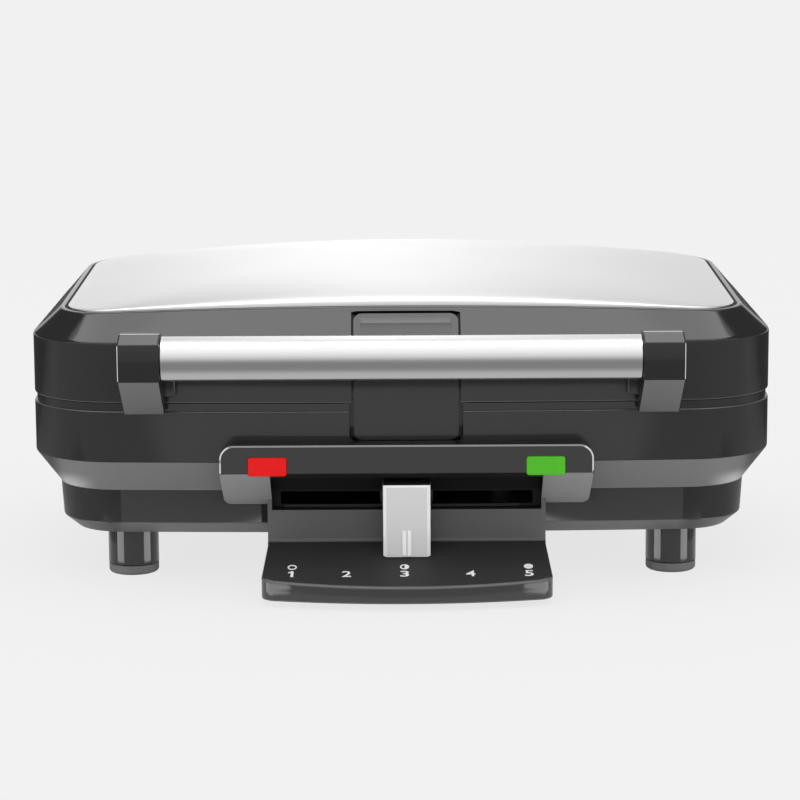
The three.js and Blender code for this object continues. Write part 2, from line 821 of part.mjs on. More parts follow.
function lidShell() {
  const lidLedge = partingHeight + flangeDrop + seatGap;
  const seatInner = coverInset + seatReach;
  const under = (x, y) => lidSeat(x, y) - shellWall;
  const shell = sleeve([
    [0, lidBottom],
    [0, lidWallTop],
    [bevelInset, ledgeHeight],
    [coverInset - seatGap, ledgeHeight],
    [coverInset - seatGap, lidSeat],
    [seatInner, lidSeat],
    [seatInner, under],
    [bevelInset, under],
    [shellWall, lidWallTop - bevelWallShare * shellWall],
    [shellWall, lidLedge + shellWall],
    [ledgeInset, lidLedge + shellWall],
    [ledgeInset, lidLedge],
    [shellWall, lidLedge],
    [shellWall, lidBottom],
  ]);
  const bosses = sides.map(([, s]) => {
    return block(
      outward(s, bracketInner - bossSpare, bracketOuter),
      [bossFront, shellWall / 2 + frontBow - halfDepth],
      [bossBottom, bossBottom + bossHeight],
    );
  });
  const screwHoles = sides.map(([, s]) => {
    const span = [bossFront - overrun, 2 * overrun - halfDepth];
    const hole = rod(bracketScrewRadius + seatGap, span, smallSteps, 'y');
    const headSpan = [screwHeadY - seatGap, screwHeadY + bracketScrewHeadHeight + bracketScrewLength];
    const headRoom = rod(bracketScrewHeadRadius + runGap, headSpan, smallSteps, 'y');
    return join(hole, headRoom).translate(s * (bracketInner + bracketWidth / 2), 0, bossScrewZ);
  });
  const pinEnd = latchPinHalf + seatGap;
  const pinHole = rod(latchPinRadius + seatGap, [-pinEnd, pinEnd], smallSteps, 'x');
  return cut(
    join(shell, atControls(latchBay()), ...bosses),
    atControls(latchPocket()),
    atControls(pinHole.translate(0, latchAxisY, latchAxisZ)),
    ...screwHoles,
  );
}

piece(lid, 'lid_shell', lidShell(), 'glossBlack');

// Steel cover: a pressed sheet with a turned-down edge and a low crowned dome
function coverTop(x, y, share) {
  const swell = Math.max(0, 1 - share ** domePower) ** domeFullness;
  const dome = domeHeight * swell * (1 - (x / coverHalfWidth) ** 2);
  return ledgeHeight(x, y) + coverLip + dome;
}

function lidCover() {
  const topRing = (share, drop, inset) => ring(inset, (x, y) => coverTop(x, y, share) - drop, share);
  const footAt = (x, y) => lidSeat(x, y) + seatGap;
  const inner = domeStepShares.map((share) => topRing(share, coverSheet, coverInset + coverSheet)).reverse();
  const outer = domeStepShares.map((share) => topRing(share, 0, coverInset));
  const hem = [ring(coverInset + coverSheet, footAt), ring(coverInset, footAt)];
  return loft([...inner, ...hem, ...outer], false);
}

piece(lid, 'lid_cover', lidCover(), 'brushedSteel');

// Handle: a steel tube on the spigots of two brackets, drawn together by a rod through it
const spigotEnd = barHalfLength - spigotLength;
const counterbore = bracketOuter - counterboreDepth;
const handlePlace = [0, barAxisY, barAxisZ];
const handleBar = cut(
  rod(barDiameter / 2, [-barHalfLength, barHalfLength], roundSteps, 'x'),
  rod(barDiameter / 2 - barWall, [-barHalfLength - overrun, barHalfLength + overrun], roundSteps, 'x'),
);
piece(lid, 'handle_bar', handleBar, 'brushedSteel', handlePlace);
const tieRod = rod(tieRodRadius, [-bracketOuter + runGap, bracketOuter - runGap], smallSteps, 'x');
piece(lid, 'handle_tie_rod', tieRod, 'bareSteel', handlePlace);
const nut = cut(
  rod(nutRadius, [0, nutHeight], nutSides, 'x'),
  rod(tieRodRadius + seatGap, [-overrun, 2 * overrun], smallSteps, 'x'),
);

const bracketFront = barAxisY - barDiameter / 2;
const bracketTop = barAxisZ + bracketCrest;

function bracket(s) {
  const outline = [
    [barAxisY, bracketTop],
    [bracketFront, bracketTop - bracketFacetDrop],
    [bracketFront - bracketLip, barAxisZ],
    [bracketFront, bracketTop - bracketFrontDrop],
    [-halfDepth - bracketTailGap, bracketTop - bracketTailDrop],
    [-halfDepth - bracketTailGap, bossBottom - seatGap],
    [bossFront - seatGap, bossBottom - seatGap],
    [bossFront - seatGap, bossBottom + bracketBackRise],
    [barAxisY + bracketFacetDepth / 2, bracketTop],
  ];
  const [near, far] = [bracketInner, bracketOuter];
  const bore = rod(tieRodRadius + seatGap, [spigotEnd - overrun, far + overrun], smallSteps, 'x');
  const recess = rod(nutRadius + seatGap, [counterbore, far + overrun], smallSteps, 'x');
  const spigot = rod(barDiameter / 2 - barWall - seatGap, [spigotEnd, near + weldDepth], roundSteps, 'x');
  const pilot = rod(
    bracketScrewRadius + seatGap / 2,
    [bossFront - bracketScrewLength, bossFront + overrun],
    smallSteps,
    'y',
  ).translate((near + far) / 2, 0, bossScrewZ);
  const body = cut(
    join(carriedX(outline, [near, far]), spigot.translate(...handlePlace)),
    bore.translate(...handlePlace),
    recess.translate(...handlePlace),
    pilot,
  );
  if (s > 0) return body;
  const { vertProperties, triVerts } = body.getMesh();
  const geometry = new THREE.BufferGeometry();
  geometry.setAttribute('position', new THREE.BufferAttribute(vertProperties, 3));
  geometry.setIndex(new THREE.BufferAttribute(triVerts, 1));
  return geometry.scale(-1, 1, 1);
}

function bracketScrew() {
  const head = screwHeadY;
  return turned([
    [0, bossFront - bracketScrewLength + seatGap],
    [bracketScrewRadius, bossFront - bracketScrewLength + seatGap],
    [bracketScrewRadius, head],
    [bracketScrewHeadRadius, head],
    [bracketScrewHeadRadius, head + bracketScrewHeadHeight],
    [0, head + bracketScrewHeadHeight],
  ], smallSteps, 'y');
}

for (const [side, s] of sides) {
  piece(lid, `handle_bracket_${side}`, bracket(s), 'satinBlack');
  const nutX = s > 0 ? counterbore + seatGap : -counterbore - seatGap - nutHeight;
  piece(lid, `handle_nut_${side}`, nut, 'bareSteel', [nutX, barAxisY, barAxisZ]);
  const x = s * (bracketInner + bracketWidth / 2);
  piece(lid, `bracket_screw_${side}`, bracketScrew(), 'bareSteel', [x, 0, bossScrewZ]);
}

// Latch: a rocker on a pin, with a hook that passes the strike on the base
function latchTab() {
  const shin = latchSheet - halfDepth;
  const strikeUnder = latchBottom + hookDrop;
  const plateSide = carriedX([
    onBevel(latchTopMargin + latchTopGap, 0),
    [-halfDepth, lidWallTop],
    [-halfDepth, latchBottom],
    [shin, latchBottom],
    [shin, lidWallTop - bevelWallShare * latchSheet],
    onBevel(latchTopMargin + latchTopGap, latchSheet),
  ], [-latchHalfWidth, latchHalfWidth]);
  const fingerX = latchHalfWidth - latchFingerMargin;
  const finger = carriedX([
    onBevel(latchTopMargin + latchTopGap + latchFingerMargin, latchFingerDepth),
    [latchFingerDepth - halfDepth, lidWallTop],
    [latchFingerDepth - halfDepth, lidWallTop - latchFingerMargin],
    [-halfDepth - overrun, lidWallTop - latchFingerMargin],
    [-halfDepth - overrun, lidWallTop],
    onBevel(latchTopMargin + latchTopGap + latchFingerMargin, -overrun),
  ], [-fingerX, fingerX]);
  const hook = block(
    [-strikeHalfWidth, strikeHalfWidth],
    [shin - weldDepth, bayDepth - seatGap - strikeDepth - hookPassGap - halfDepth],
    [strikeUnder - runGap - hookThickness, strikeUnder - runGap],
  );
  const lugs = sides.map(([, s]) => {
    const span = outward(s, latchLugInner, latchLugInner + latchLugWidth);
    const eye = rod(latchLugRadius, span, smallSteps, 'x').translate(0, latchAxisY, latchAxisZ);
    const root = block(
      span,
      [shin - weldDepth, latchAxisY],
      [latchAxisZ - latchLugRadius / 2, latchAxisZ + latchLugRadius / 2],
    );
    return join(eye, root);
  });
  const bore = rod(latchPinRadius + seatGap, [-latchHalfWidth, latchHalfWidth], smallSteps, 'x');
  return cut(join(plateSide, hook, ...lugs), finger, bore.translate(0, latchAxisY, latchAxisZ));
}

piece(latch, 'latch_tab', latchTab(), 'glossBlack', [controlOffset, 0, 0]);
const latchPin = rod(latchPinRadius, [-latchPinHalf, latchPinHalf], smallSteps, 'x');
piece(lid, 'latch_pin', latchPin, 'bareSteel', [controlOffset, latchAxisY, latchAxisZ]);

function latchSpring() {
  const radius = latchPinRadius + seatGap + springWireRadius;
  const points = [];
  for (let i = 0; i <= springTurns * springStepsPerTurn; i += 1) {
    const turn = i / springStepsPerTurn;
    const angle = 2 * Math.PI * turn;
    const x = (turn - springTurns / 2) * springPitch;
    points.push(vector(x, radius * Math.cos(angle), radius * Math.sin(angle)));
  }
  return tube(points, springWireRadius, springTurns * springStepsPerTurn, springSides, false);
}

piece(lid, 'latch_spring', latchSpring(), 'bareSteel', [controlOffset, latchAxisY, latchAxisZ]);

const strikeBottom = latchBottom + hookDrop;
const strike = block(
  [-strikeHalfWidth, strikeHalfWidth],
  [bayDepth - seatGap - strikeDepth - halfDepth, bayDepth - seatGap - halfDepth],
  [strikeBottom, strikeBottom + strikeThickness],
);
piece(base, 'latch_strike', strike, 'bareSteel', [controlOffset, 0, 0]);

// Control housing: a lamp bar, the slider's recess, its neck and the numbered shelf in one moulding
const houseFront = -halfDepth - barHouseProud;
const neckFront = -lowerFront - (neckInset - seatGap) / 2 - seatGap;
const shelfBack = -lowerFront;
const shelfTip = neckFront - shelfReach - neckInset;
const shelfTopAt = (x, y) => foldHeight - shelfFall * (neckFront - y) / (neckFront - shelfTip);
const shelfBottom = foldHeight - shelfFall - shelfThickness;

function shelfEdge(inset) {
  const half = shelfHalfWidth - inset;
  const r = shelfCorner - inset;
  const front = [];
  const centreY = shelfTip + inset + shelfFrontRadius;
  const cornerX = half - r;
  const cornerY = centreY - Math.sqrt((shelfFrontRadius - r) ** 2 - cornerX ** 2);
  const reach = THREE.MathUtils.radToDeg(Math.atan2(cornerX, centreY - cornerY));
  front.push(...arc([-cornerX, cornerY], r, 180, 270 - reach, shelfCornerSteps));
  front.push(...arc([0, centreY], shelfFrontRadius, 270 - reach, 270 + reach, shelfFrontSteps).slice(1, -1));
  front.push(...arc([cornerX, cornerY], r, 270 + reach, 360, shelfCornerSteps));
  return front;
}

function barBlock() {
  const edge = barHouseEdge;
  const side = carriedX([
    [houseFront + 2 * edge, barHouseTop],
    [houseFront + edge / 2, barHouseTop - edge / 2],
    [houseFront, barHouseTop - 2 * edge],
    [houseFront, cheekBottom + cheekStep],
    [shelfBack, cheekTail],
    [shelfBack + overrun, cheekTail],
    [shelfBack + overrun, barHouseTop],
  ], [-barHouseHalfWidth, barHouseHalfWidth]);
  const [half, r] = [barHouseHalfWidth, barHouseCorner];
  const view = carriedY([
    ...arc([half - r, barHouseTop - r], r, 0, 90, shelfCornerSteps),
    ...arc([r - half, barHouseTop - r], r, 90, 180, shelfCornerSteps),
    [-half, cheekTail],
    [half, cheekTail],
  ], [houseFront - overrun, shelfBack + 2 * overrun]);
  return common(side, view);
}

function controlHousing() {
  const wall = shellWall;
  const back = shelfBack + 2 * overrun;
  const neckBottom = foldHeight - shelfThickness;
  const neck = block([-neckHalfWidth, neckHalfWidth], [neckFront, back], [neckBottom, neckTop]);
  const ribs = sides.map(([, s]) => block(
    outward(s, recessHalfWidth, neckHalfWidth + wall),
    [neckFront, back],
    [neckTop - wall, cheekBottom - wall],
  ));
  const shelf = between(
    [
      ...shelfEdge(0),
      [neckHalfWidth, neckFront],
      [neckHalfWidth, shelfBack],
      [-neckHalfWidth, shelfBack],
      [-neckHalfWidth, neckFront],
    ],
    () => shelfBottom,
    shelfTopAt,
  );
  const rootX = neckHalfWidth - shelfSkin;
  const rootY = neckFront - shelfSkin;
  const hollow = between(
    [...shelfEdge(shelfSkin), [rootX, rootY], [-rootX, rootY]],
    () => shelfBottom - overrun,
    (x, y) => shelfTopAt(x, y) - shelfSkin,
  );
  const recess = block(
    [-recessHalfWidth, recessHalfWidth],
    [houseFront - overrun, back],
    [neckTop, cheekBottom],
  );
  const lampRoom = block(
    [barHouseCorner - barHouseHalfWidth, barHouseHalfWidth - barHouseCorner],
    [houseFront + wall, back],
    [cheekBottom + wall, barHouseTop - wall],
  );
  const cheekRooms = sides.map(([, s]) => {
    return carriedX([
      [houseFront + 2 * wall, cheekBottom + wall / 2],
      [houseFront + 2 * wall, cheekBottom + 2 * wall],
      [back, cheekBottom + 2 * wall],
      [back, cheekTail + 2 * wall],
      [shelfBack, cheekTail + 2 * wall],
    ], outward(s, recessHalfWidth + 2 * wall, barHouseHalfWidth - wall));
  });
  const windows = sides.map(([, s]) => {
    const [near, far] = [s * lensOffset - lensWidth / 2 - seatGap, s * lensOffset + lensWidth / 2 + seatGap];
    return block([near, far], [houseFront - overrun, houseFront + 2 * wall],
      [lensBottom - seatGap, lensBottom + lensHeight + seatGap]);
  });
  const space = baseProfile.map(([inset, height], i) => [inset - seatGap, i ? height : height - seatGap]);
  const shellSpace = capped(space).translate(-controlOffset, 0, 0);
  const tray = cut(join(shelf, neck), hollow);
  const whole = join(cut(barBlock(), recess, lampRoom, ...cheekRooms), ...ribs, tray);
  return cut(whole, ...windows, shellSpace);
}

piece(base, 'control_housing', controlHousing(), 'glossBlack', [controlOffset, 0, 0]);

// Indicator lenses and the lamps behind them
function lens() {
  const [w, h] = [lensWidth / 2, lensHeight];
  const face = block([-w, w], [houseFront - lensProud, houseFront + shellWall], [lensBottom, lensBottom + h]);
  const flange = block(
    [-w - lensFlange, w + lensFlange],
    [houseFront + shellWall + seatGap, houseFront + shellWall + seatGap + lensFlange],
    [cheekBottom + shellWall + seatGap, lensBottom + h],
  );
  const bridge = block(
    [-w, w],
    [houseFront + shellWall - weldDepth, houseFront + shellWall + seatGap + lensFlange],
    [cheekBottom + shellWall + seatGap, lensBottom + h],
  );
  return join(face, bridge, flange);
}

const lampFront = houseFront + shellWall + 2 * seatGap + lensFlange;
const lamp = turned([
  [0, 0],
  [lampRadius / 2, 0],
  [lampRadius, lampRadius / 2],
  [lampRadius, lampLength],
  [0, lampLength],
], smallSteps, 'y');
const lampHeight = (cheekBottom + barHouseTop) / 2;
for (const [name, finish, s] of [['power', 'redLens', -1], ['ready', 'greenLens', 1]]) {
  const x = controlOffset + s * lensOffset;
  piece(base, `${name}_lens`, lens(), finish, [x, 0, 0]);
  piece(base, `${name}_lamp`, lamp, 'lampGlass', [x, lampFront, lampHeight]);
}

// Browning slider: the silver knob in front and its carriage behind the shell wall
const knobFront = -halfDepth - knobProud;
const knobBack = knobFront + knobDepth;
const knobBottom = shelfTopAt(0, knobBack) + knobFloorGap;
const knobToe = shelfTopAt(0, knobFront) + knobFloorGap;
const carriageFront = chamferInset + undercutWall + carriageGap - halfDepth;
const carriageBack = carriageFront + carriageSheet;

function browningKnob() {
  const w = knobWidth / 2;
  const e = knobEdge;
  const body = carriedX([
    [knobFront + e, knobTop],
    [knobFront, knobTop - e],
    [knobFront, knobToe],
    [knobBack, knobBottom],
    [knobBack, knobTop],
  ], [-w, w]);
  const hollow = block(
    [knobWall - w, w - knobWall],
    [knobFront + 2 * knobWall, knobBack + overrun],
    [stemCentre + stemHeight, knobTop - knobWall],
  );
  const lowHollow = block(
    [knobWall - w, w - knobWall],
    [knobFront + 2 * knobWall, knobBack + overrun],
    [knobBottom + knobWall, stemCentre - stemHeight],
  );
  const pointer = block(
    [-pointerWidth / 2, pointerWidth / 2],
    [knobFront - pointerProud, knobFront + weldDepth],
    [knobToe + pointerProud, knobToe + pointerProud + pointerHeight],
  );
  const stem = block(
    [-stemHalfWidth, stemHalfWidth],
    [knobBack - weldDepth, carriageBack],
    [stemCentre - stemHeight / 2, stemCentre + stemHeight / 2],
  );
  return join(cut(body, hollow, lowHollow), pointer, stem);
}

piece(slider, 'browning_knob', browningKnob(), 'silver', [controlOffset, 0, 0]);

const carriageBottom = stemCentre - carriageHeight / 2;

function sliderCarriage() {
  const plateBody = block(
    [-carriageHalfWidth, carriageHalfWidth],
    [carriageFront, carriageBack],
    [carriageBottom, carriageBottom + carriageHeight],
  );
  const arm = block(
    [-carriageArmHalfWidth, carriageArmHalfWidth],
    [carriageBack - weldDepth, forkPinY + 2 * forkPinRadius],
    [carriageBottom, carriageBottom + carriageArmSheet],
  );
  const pin = rod(forkPinRadius, [carriageBottom + weldDepth, carriageBottom + forkPinHeight], smallSteps);
  const socket = block(
    [-stemHalfWidth - seatGap, stemHalfWidth + seatGap],
    [carriageFront - overrun, carriageBack + overrun],
    [stemCentre - stemHeight / 2 - seatGap, stemCentre + stemHeight / 2 + seatGap],
  );
  return join(cut(plateBody, socket), arm, pin.translate(0, forkPinY, 0));
}

piece(slider, 'slider_carriage', sliderCarriage(), 'satinBlack', [controlOffset, 0, 0]);

// Thermostat with its shaft, and the lever that the carriage pin turns
const leverBottom = carriageBottom + carriageArmSheet + leverLift;
const leverTop = leverBottom + leverSheet;
const thermostatTop = partingHeight - plateBack - seatGap;
const thermostatBottom = thermostatTop - thermostatHeight;

function thermostatLever() {
  const end = -leverLength - leverReach;
  const arm = between(
    [[-leverHalfWidth, 0], [-leverHalfWidth, end], [leverHalfWidth, end], [leverHalfWidth, 0]],
    () => leverBottom,
    () => leverTop,
  );
  const hub = rod(hubRadius, [leverBottom, leverTop + leverSheet / 2], roundSteps);
  const slotHalf = forkPinRadius + forkPlay;
  const through = [leverBottom - overrun, leverTop + overrun];
  const slot = block([-slotHalf, slotHalf], [end - overrun, slotStart - leverLength], through);
  const bore = rod(shaftRadius + shaftGap, through, smallSteps);
  return cut(join(arm, hub), slot, bore);
}

const thermostatPlace = [controlOffset, thermostatY, 0];
piece(lever, 'thermostat_lever', thermostatLever(), 'bareSteel', thermostatPlace);
const shaft = rod(shaftRadius, [leverBottom, thermostatBottom + shaftSeat - shaftGap], smallSteps);
piece(lever, 'thermostat_shaft', shaft, 'bareSteel', thermostatPlace);

function thermostatBody() {
  const body = block(
    [-thermostatWidth / 2, thermostatWidth / 2],
    [-thermostatDepth / 2, thermostatDepth / 2],
    [thermostatBottom, thermostatTop],
  );
  const seat = [thermostatBottom - overrun, thermostatBottom + shaftSeat];
  const bore = rod(shaftRadius + shaftGap, seat, smallSteps);
  return cut(body, bore);
}

piece(base, 'thermostat_body', thermostatBody(), 'ceramic', thermostatPlace);

const fuse = rod(fuseRadius, [-fuseLength / 2, fuseLength / 2], smallSteps, 'y');
const fuseHeight = thermostatTop - fuseRadius;
piece(base, 'thermal_fuse', fuse, 'ceramic', [fuseX, 0, fuseHeight]);

// Hinges: a clevis on the base, a knuckle on the lid and a pin through both
const hingeY = halfDepth + hingeStandOff;
const hingeZ = partingHeight;
const backFace = halfDepth + seatGap;

function hingeBracket() {
  const top = hingeZ - basePlateTop;
  const outer = knuckleHalfWidth + runGap + earThickness;
  const foot = block([-outer, outer], [backFace, backFace + hingePlate], [top - basePlateHeight, top]);
  const ears = sides.map(([, s]) => {
    const span = outward(s, knuckleHalfWidth + runGap, outer);
    const eye = rod(knuckleRadius, span, roundSteps / 2, 'x').translate(0, hingeY, hingeZ);
    const web = carriedX([
      [backFace, top - basePlateHeight],
      [hingeY + knuckleRadius - hingePlate, hingeZ],
      [backFace + hingePlate, hingeZ],
      [backFace, top],
    ], span);
    return join(eye, web);
  });
  const bore = rod(hingePinRadius + hingePinGap, [-outer - overrun, outer + overrun], smallSteps, 'x');
  return cut(join(foot, ...ears), bore.translate(0, hingeY, hingeZ));
}

function lidKnuckle() {
  const low = hingeZ + lidPlateRise;
  const span = [-knuckleHalfWidth, knuckleHalfWidth];
  const foot = block(span, [backFace, backFace + hingePlate], [low, low + lidPlateHeight]);
  const eye = rod(knuckleRadius, span, roundSteps / 2, 'x').translate(0, hingeY, hingeZ);
  const web = carriedX([
    [backFace, low + hingePlate],
    [backFace, hingeZ + hingePlate],
    [hingeY + knuckleRadius - hingePlate, hingeZ],
    [backFace + hingePlate, low + lidPlateHeight],
    [backFace, low + lidPlateHeight],
  ], span);
  const through = [-knuckleHalfWidth - overrun, knuckleHalfWidth + overrun];
  const bore = rod(hingePinRadius + hingePinGap, through, smallSteps, 'x');
  return cut(join(foot, eye, web), bore.translate(0, hingeY, hingeZ));
}

const pinHalf = knuckleHalfWidth + runGap + earThickness;
const hingePin = rod(hingePinRadius, [-pinHalf, pinHalf], smallSteps, 'x');
for (const [side, s] of sides) {
  piece(base, `hinge_bracket_${side}`, hingeBracket(), 'satinBlack', [s * hingeX, 0, 0]);
  piece(base, `hinge_pin_${side}`, hingePin, 'bareSteel', [s * hingeX, hingeY, hingeZ]);
  piece(lid, `lid_hinge_knuckle_${side}`, lidKnuckle(), 'satinBlack', [s * hingeX, 0, 0]);
}

// Cord inlet bush and the wires from it to the thermostat
const glandBack = lowerFront + seatGap;
const gland = turned([
  [glandBoreRadius, lowerFront - glandInside],
  [glandRadius, lowerFront - glandInside],
  [glandRadius, glandBack],
  [glandFlangeRadius, glandBack],
  [glandFlangeRadius, glandBack + glandFlange / 2],
  [glandRadius, glandBack + glandFlange],
  [glandBoreRadius, glandBack + glandFlange],
  [glandBoreRadius, lowerFront - glandInside],
], roundSteps, 'y');
piece(base, 'cord_gland', gland, 'rubber', [glandX, 0, glandHeight]);

const loomEndX = controlOffset + thermostatWidth / 2 - loomRadius;
const loomEndZ = thermostatBottom - seatGap;
const loomStartY = lowerFront - glandInside - loomClear;
const loom = tube([
  vector(glandX, loomStartY, glandHeight),
  vector(glandX, loomStartY - glandInside, glandHeight),
  vector((3 * glandX + loomEndX) / 4, (loomStartY + thermostatY) / 2, (glandHeight + leverTop) / 2),
  vector((glandX + 3 * loomEndX) / 4, thermostatY + thermostatWindow / 2, leverTop),
  vector(loomEndX, thermostatY, loomEndZ - 2 * loomRadius),
  vector(loomEndX, thermostatY, loomEndZ),
], loomRadius, loomSteps, loomSides, false);
piece(base, 'base_wire_loom', loom, 'loom');

// The part's origin is the middle of its footprint, on the table
const frontReach = shelfTip;
const rearReach = hingeY + knuckleRadius;
wafflemaker.position.y = -(frontReach + rearReach) / 2;

export default wafflemaker;
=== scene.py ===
import json
import math
import bmesh
import bpy
from mathutils import Matrix, Vector, kdtree


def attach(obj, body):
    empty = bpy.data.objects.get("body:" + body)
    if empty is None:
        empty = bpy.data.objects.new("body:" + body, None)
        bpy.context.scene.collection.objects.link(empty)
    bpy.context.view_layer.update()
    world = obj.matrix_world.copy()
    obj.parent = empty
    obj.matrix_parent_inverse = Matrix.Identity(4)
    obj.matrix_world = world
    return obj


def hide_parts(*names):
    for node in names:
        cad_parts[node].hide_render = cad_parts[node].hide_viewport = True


# %% [markdown]
# # A belgian waffle maker
# A wide glossy black machine in two halves, with a brushed steel cover let into the lid, a steel bar
# handle, a latch tab, a lamp bar over a silver slider, and four round feet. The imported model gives
# every size and place. This script dresses it: it models what shows again with rounded edges and
# finer curves, and gives every piece that it keeps a better material.

# %% The frame
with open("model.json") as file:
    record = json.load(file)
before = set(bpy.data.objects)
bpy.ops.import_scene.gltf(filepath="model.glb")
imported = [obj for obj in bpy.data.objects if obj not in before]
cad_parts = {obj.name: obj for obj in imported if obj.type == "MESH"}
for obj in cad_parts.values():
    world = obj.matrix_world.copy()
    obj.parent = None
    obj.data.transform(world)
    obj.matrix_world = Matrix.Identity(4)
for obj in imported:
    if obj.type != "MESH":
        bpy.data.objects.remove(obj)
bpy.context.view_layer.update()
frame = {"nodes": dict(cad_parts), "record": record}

# %% [markdown]
# # Camera, floor and light
# The photograph is a studio shot with a long lens, ten degrees down, on a pale ground with hardly a
# shadow. The light is an even pale room and one soft box over the front. Black gloss shows nothing but
# reflections, and a photographer shapes them with cards, so there are cards here too.

# %% Camera
camera = bpy.data.objects.new("camera", bpy.data.cameras.new("camera"))
bpy.context.scene.collection.objects.link(camera)
camera.data.lens = 127.62
camera.data.sensor_width = 36.0
camera.data.clip_end = 100.0
turn = Matrix.Rotation(math.radians(80.0), 4, "X") @ Matrix.Rotation(math.radians(-0.3), 4, "Z")
camera.matrix_world = Matrix.Translation((-0.00081, -1.5552, 0.357)) @ turn
bpy.context.scene.camera = camera
bpy.context.scene.view_settings.view_transform = "Standard"
print("camera at", tuple(round(v, 3) for v in camera.location))

# %% World and floor
PALE = 0.888
LIGHT = 1.2


def wire(tree, source, target):
    tree.links.new(source, target)


def maths(tree, operation, first, second=None):
    node = tree.nodes.new("ShaderNodeMath")
    node.operation = operation
    for socket, value in zip(node.inputs, (first, second)):
        if isinstance(value, float):
            socket.default_value = value
        elif value is not None:
            wire(tree, value, socket)
    return node.outputs[0]


world = bpy.data.worlds.new("room")
bpy.context.scene.world = world
world.use_nodes = True
tree = world.node_tree
back = tree.nodes["Background"]
back.inputs["Color"].default_value = (1.0, 1.0, 1.0, 1.0)
path = tree.nodes.new("ShaderNodeLightPath")
lit = tree.nodes.new("ShaderNodeMapRange")
lit.inputs["To Min"].default_value = PALE
lit.inputs["To Max"].default_value = LIGHT
wire(tree, path.outputs["Is Diffuse Ray"], lit.inputs["Value"])
wire(tree, lit.outputs["Result"], back.inputs["Strength"])

bpy.ops.object.select_all(action="DESELECT")
bpy.ops.mesh.primitive_plane_add(size=60.0, location=(0.0, 0.0, 0.0))
floor = bpy.context.object
floor.name = "floor"
floor_mat = bpy.data.materials.new("pale_floor")
floor_mat.use_nodes = True
tree = floor_mat.node_tree
tree.nodes.clear()
out = tree.nodes.new("ShaderNodeOutputMaterial")
path = tree.nodes.new("ShaderNodeLightPath")
seen = maths(tree, "MAXIMUM", path.outputs["Is Camera Ray"], path.outputs["Is Glossy Ray"])
seen = maths(tree, "MAXIMUM", seen, path.outputs["Is Transmission Ray"])
matte = tree.nodes.new("ShaderNodeBsdfDiffuse")
matte.inputs["Color"].default_value = (0.75, 0.75, 0.75, 1.0)
faint = tree.nodes.new("ShaderNodeBsdfDiffuse")
faint.inputs["Color"].default_value = (0.07, 0.07, 0.07, 1.0)
near = tree.nodes.new("ShaderNodeAmbientOcclusion")
near.inputs["Distance"].default_value = 0.09
soft = tree.nodes.new("ShaderNodeMapRange")
soft.inputs["To Min"].default_value = 0.76
soft.inputs["To Max"].default_value = PALE - 0.093
wire(tree, near.outputs["AO"], soft.inputs["Value"])
glow = tree.nodes.new("ShaderNodeEmission")
wire(tree, soft.outputs["Result"], glow.inputs["Strength"])
pale = tree.nodes.new("ShaderNodeAddShader")
wire(tree, faint.outputs[0], pale.inputs[0])
wire(tree, glow.outputs[0], pale.inputs[1])
mix = tree.nodes.new("ShaderNodeMixShader")
wire(tree, seen, mix.inputs[0])
wire(tree, matte.outputs[0], mix.inputs[1])
wire(tree, pale.outputs[0], mix.inputs[2])
wire(tree, mix.outputs[0], out.inputs["Surface"])
floor.data.materials.append(floor_mat)
print("floor and room ready")

# %% Soft boxes


def soft_box(name, place, target, size, radiance):
    lamp = bpy.data.lights.new(name, "AREA")
    lamp.shape = "RECTANGLE"
    lamp.size, lamp.size_y = size
    lamp.energy = 4.0 * size[0] * size[1] * radiance
    obj = bpy.data.objects.new(name, lamp)
    bpy.context.scene.collection.objects.link(obj)
    aim = (Vector(target) - Vector(place)).to_track_quat("-Z", "Y")
    obj.matrix_world = Matrix.Translation(place) @ aim.to_matrix().to_4x4()
    obj.visible_camera = False
    return obj


soft_box("over_front", (0.0, -0.3, 1.45), (0.0, -0.15, 0.13), (0.7, 0.6), 2.3)

# %% Cards
# Studio cards shape the reflections. They are seen only by gloss and metal: each is a sheet whose
# brightness runs evenly from stop to stop. Their places are in metres from the middle of the footprint.


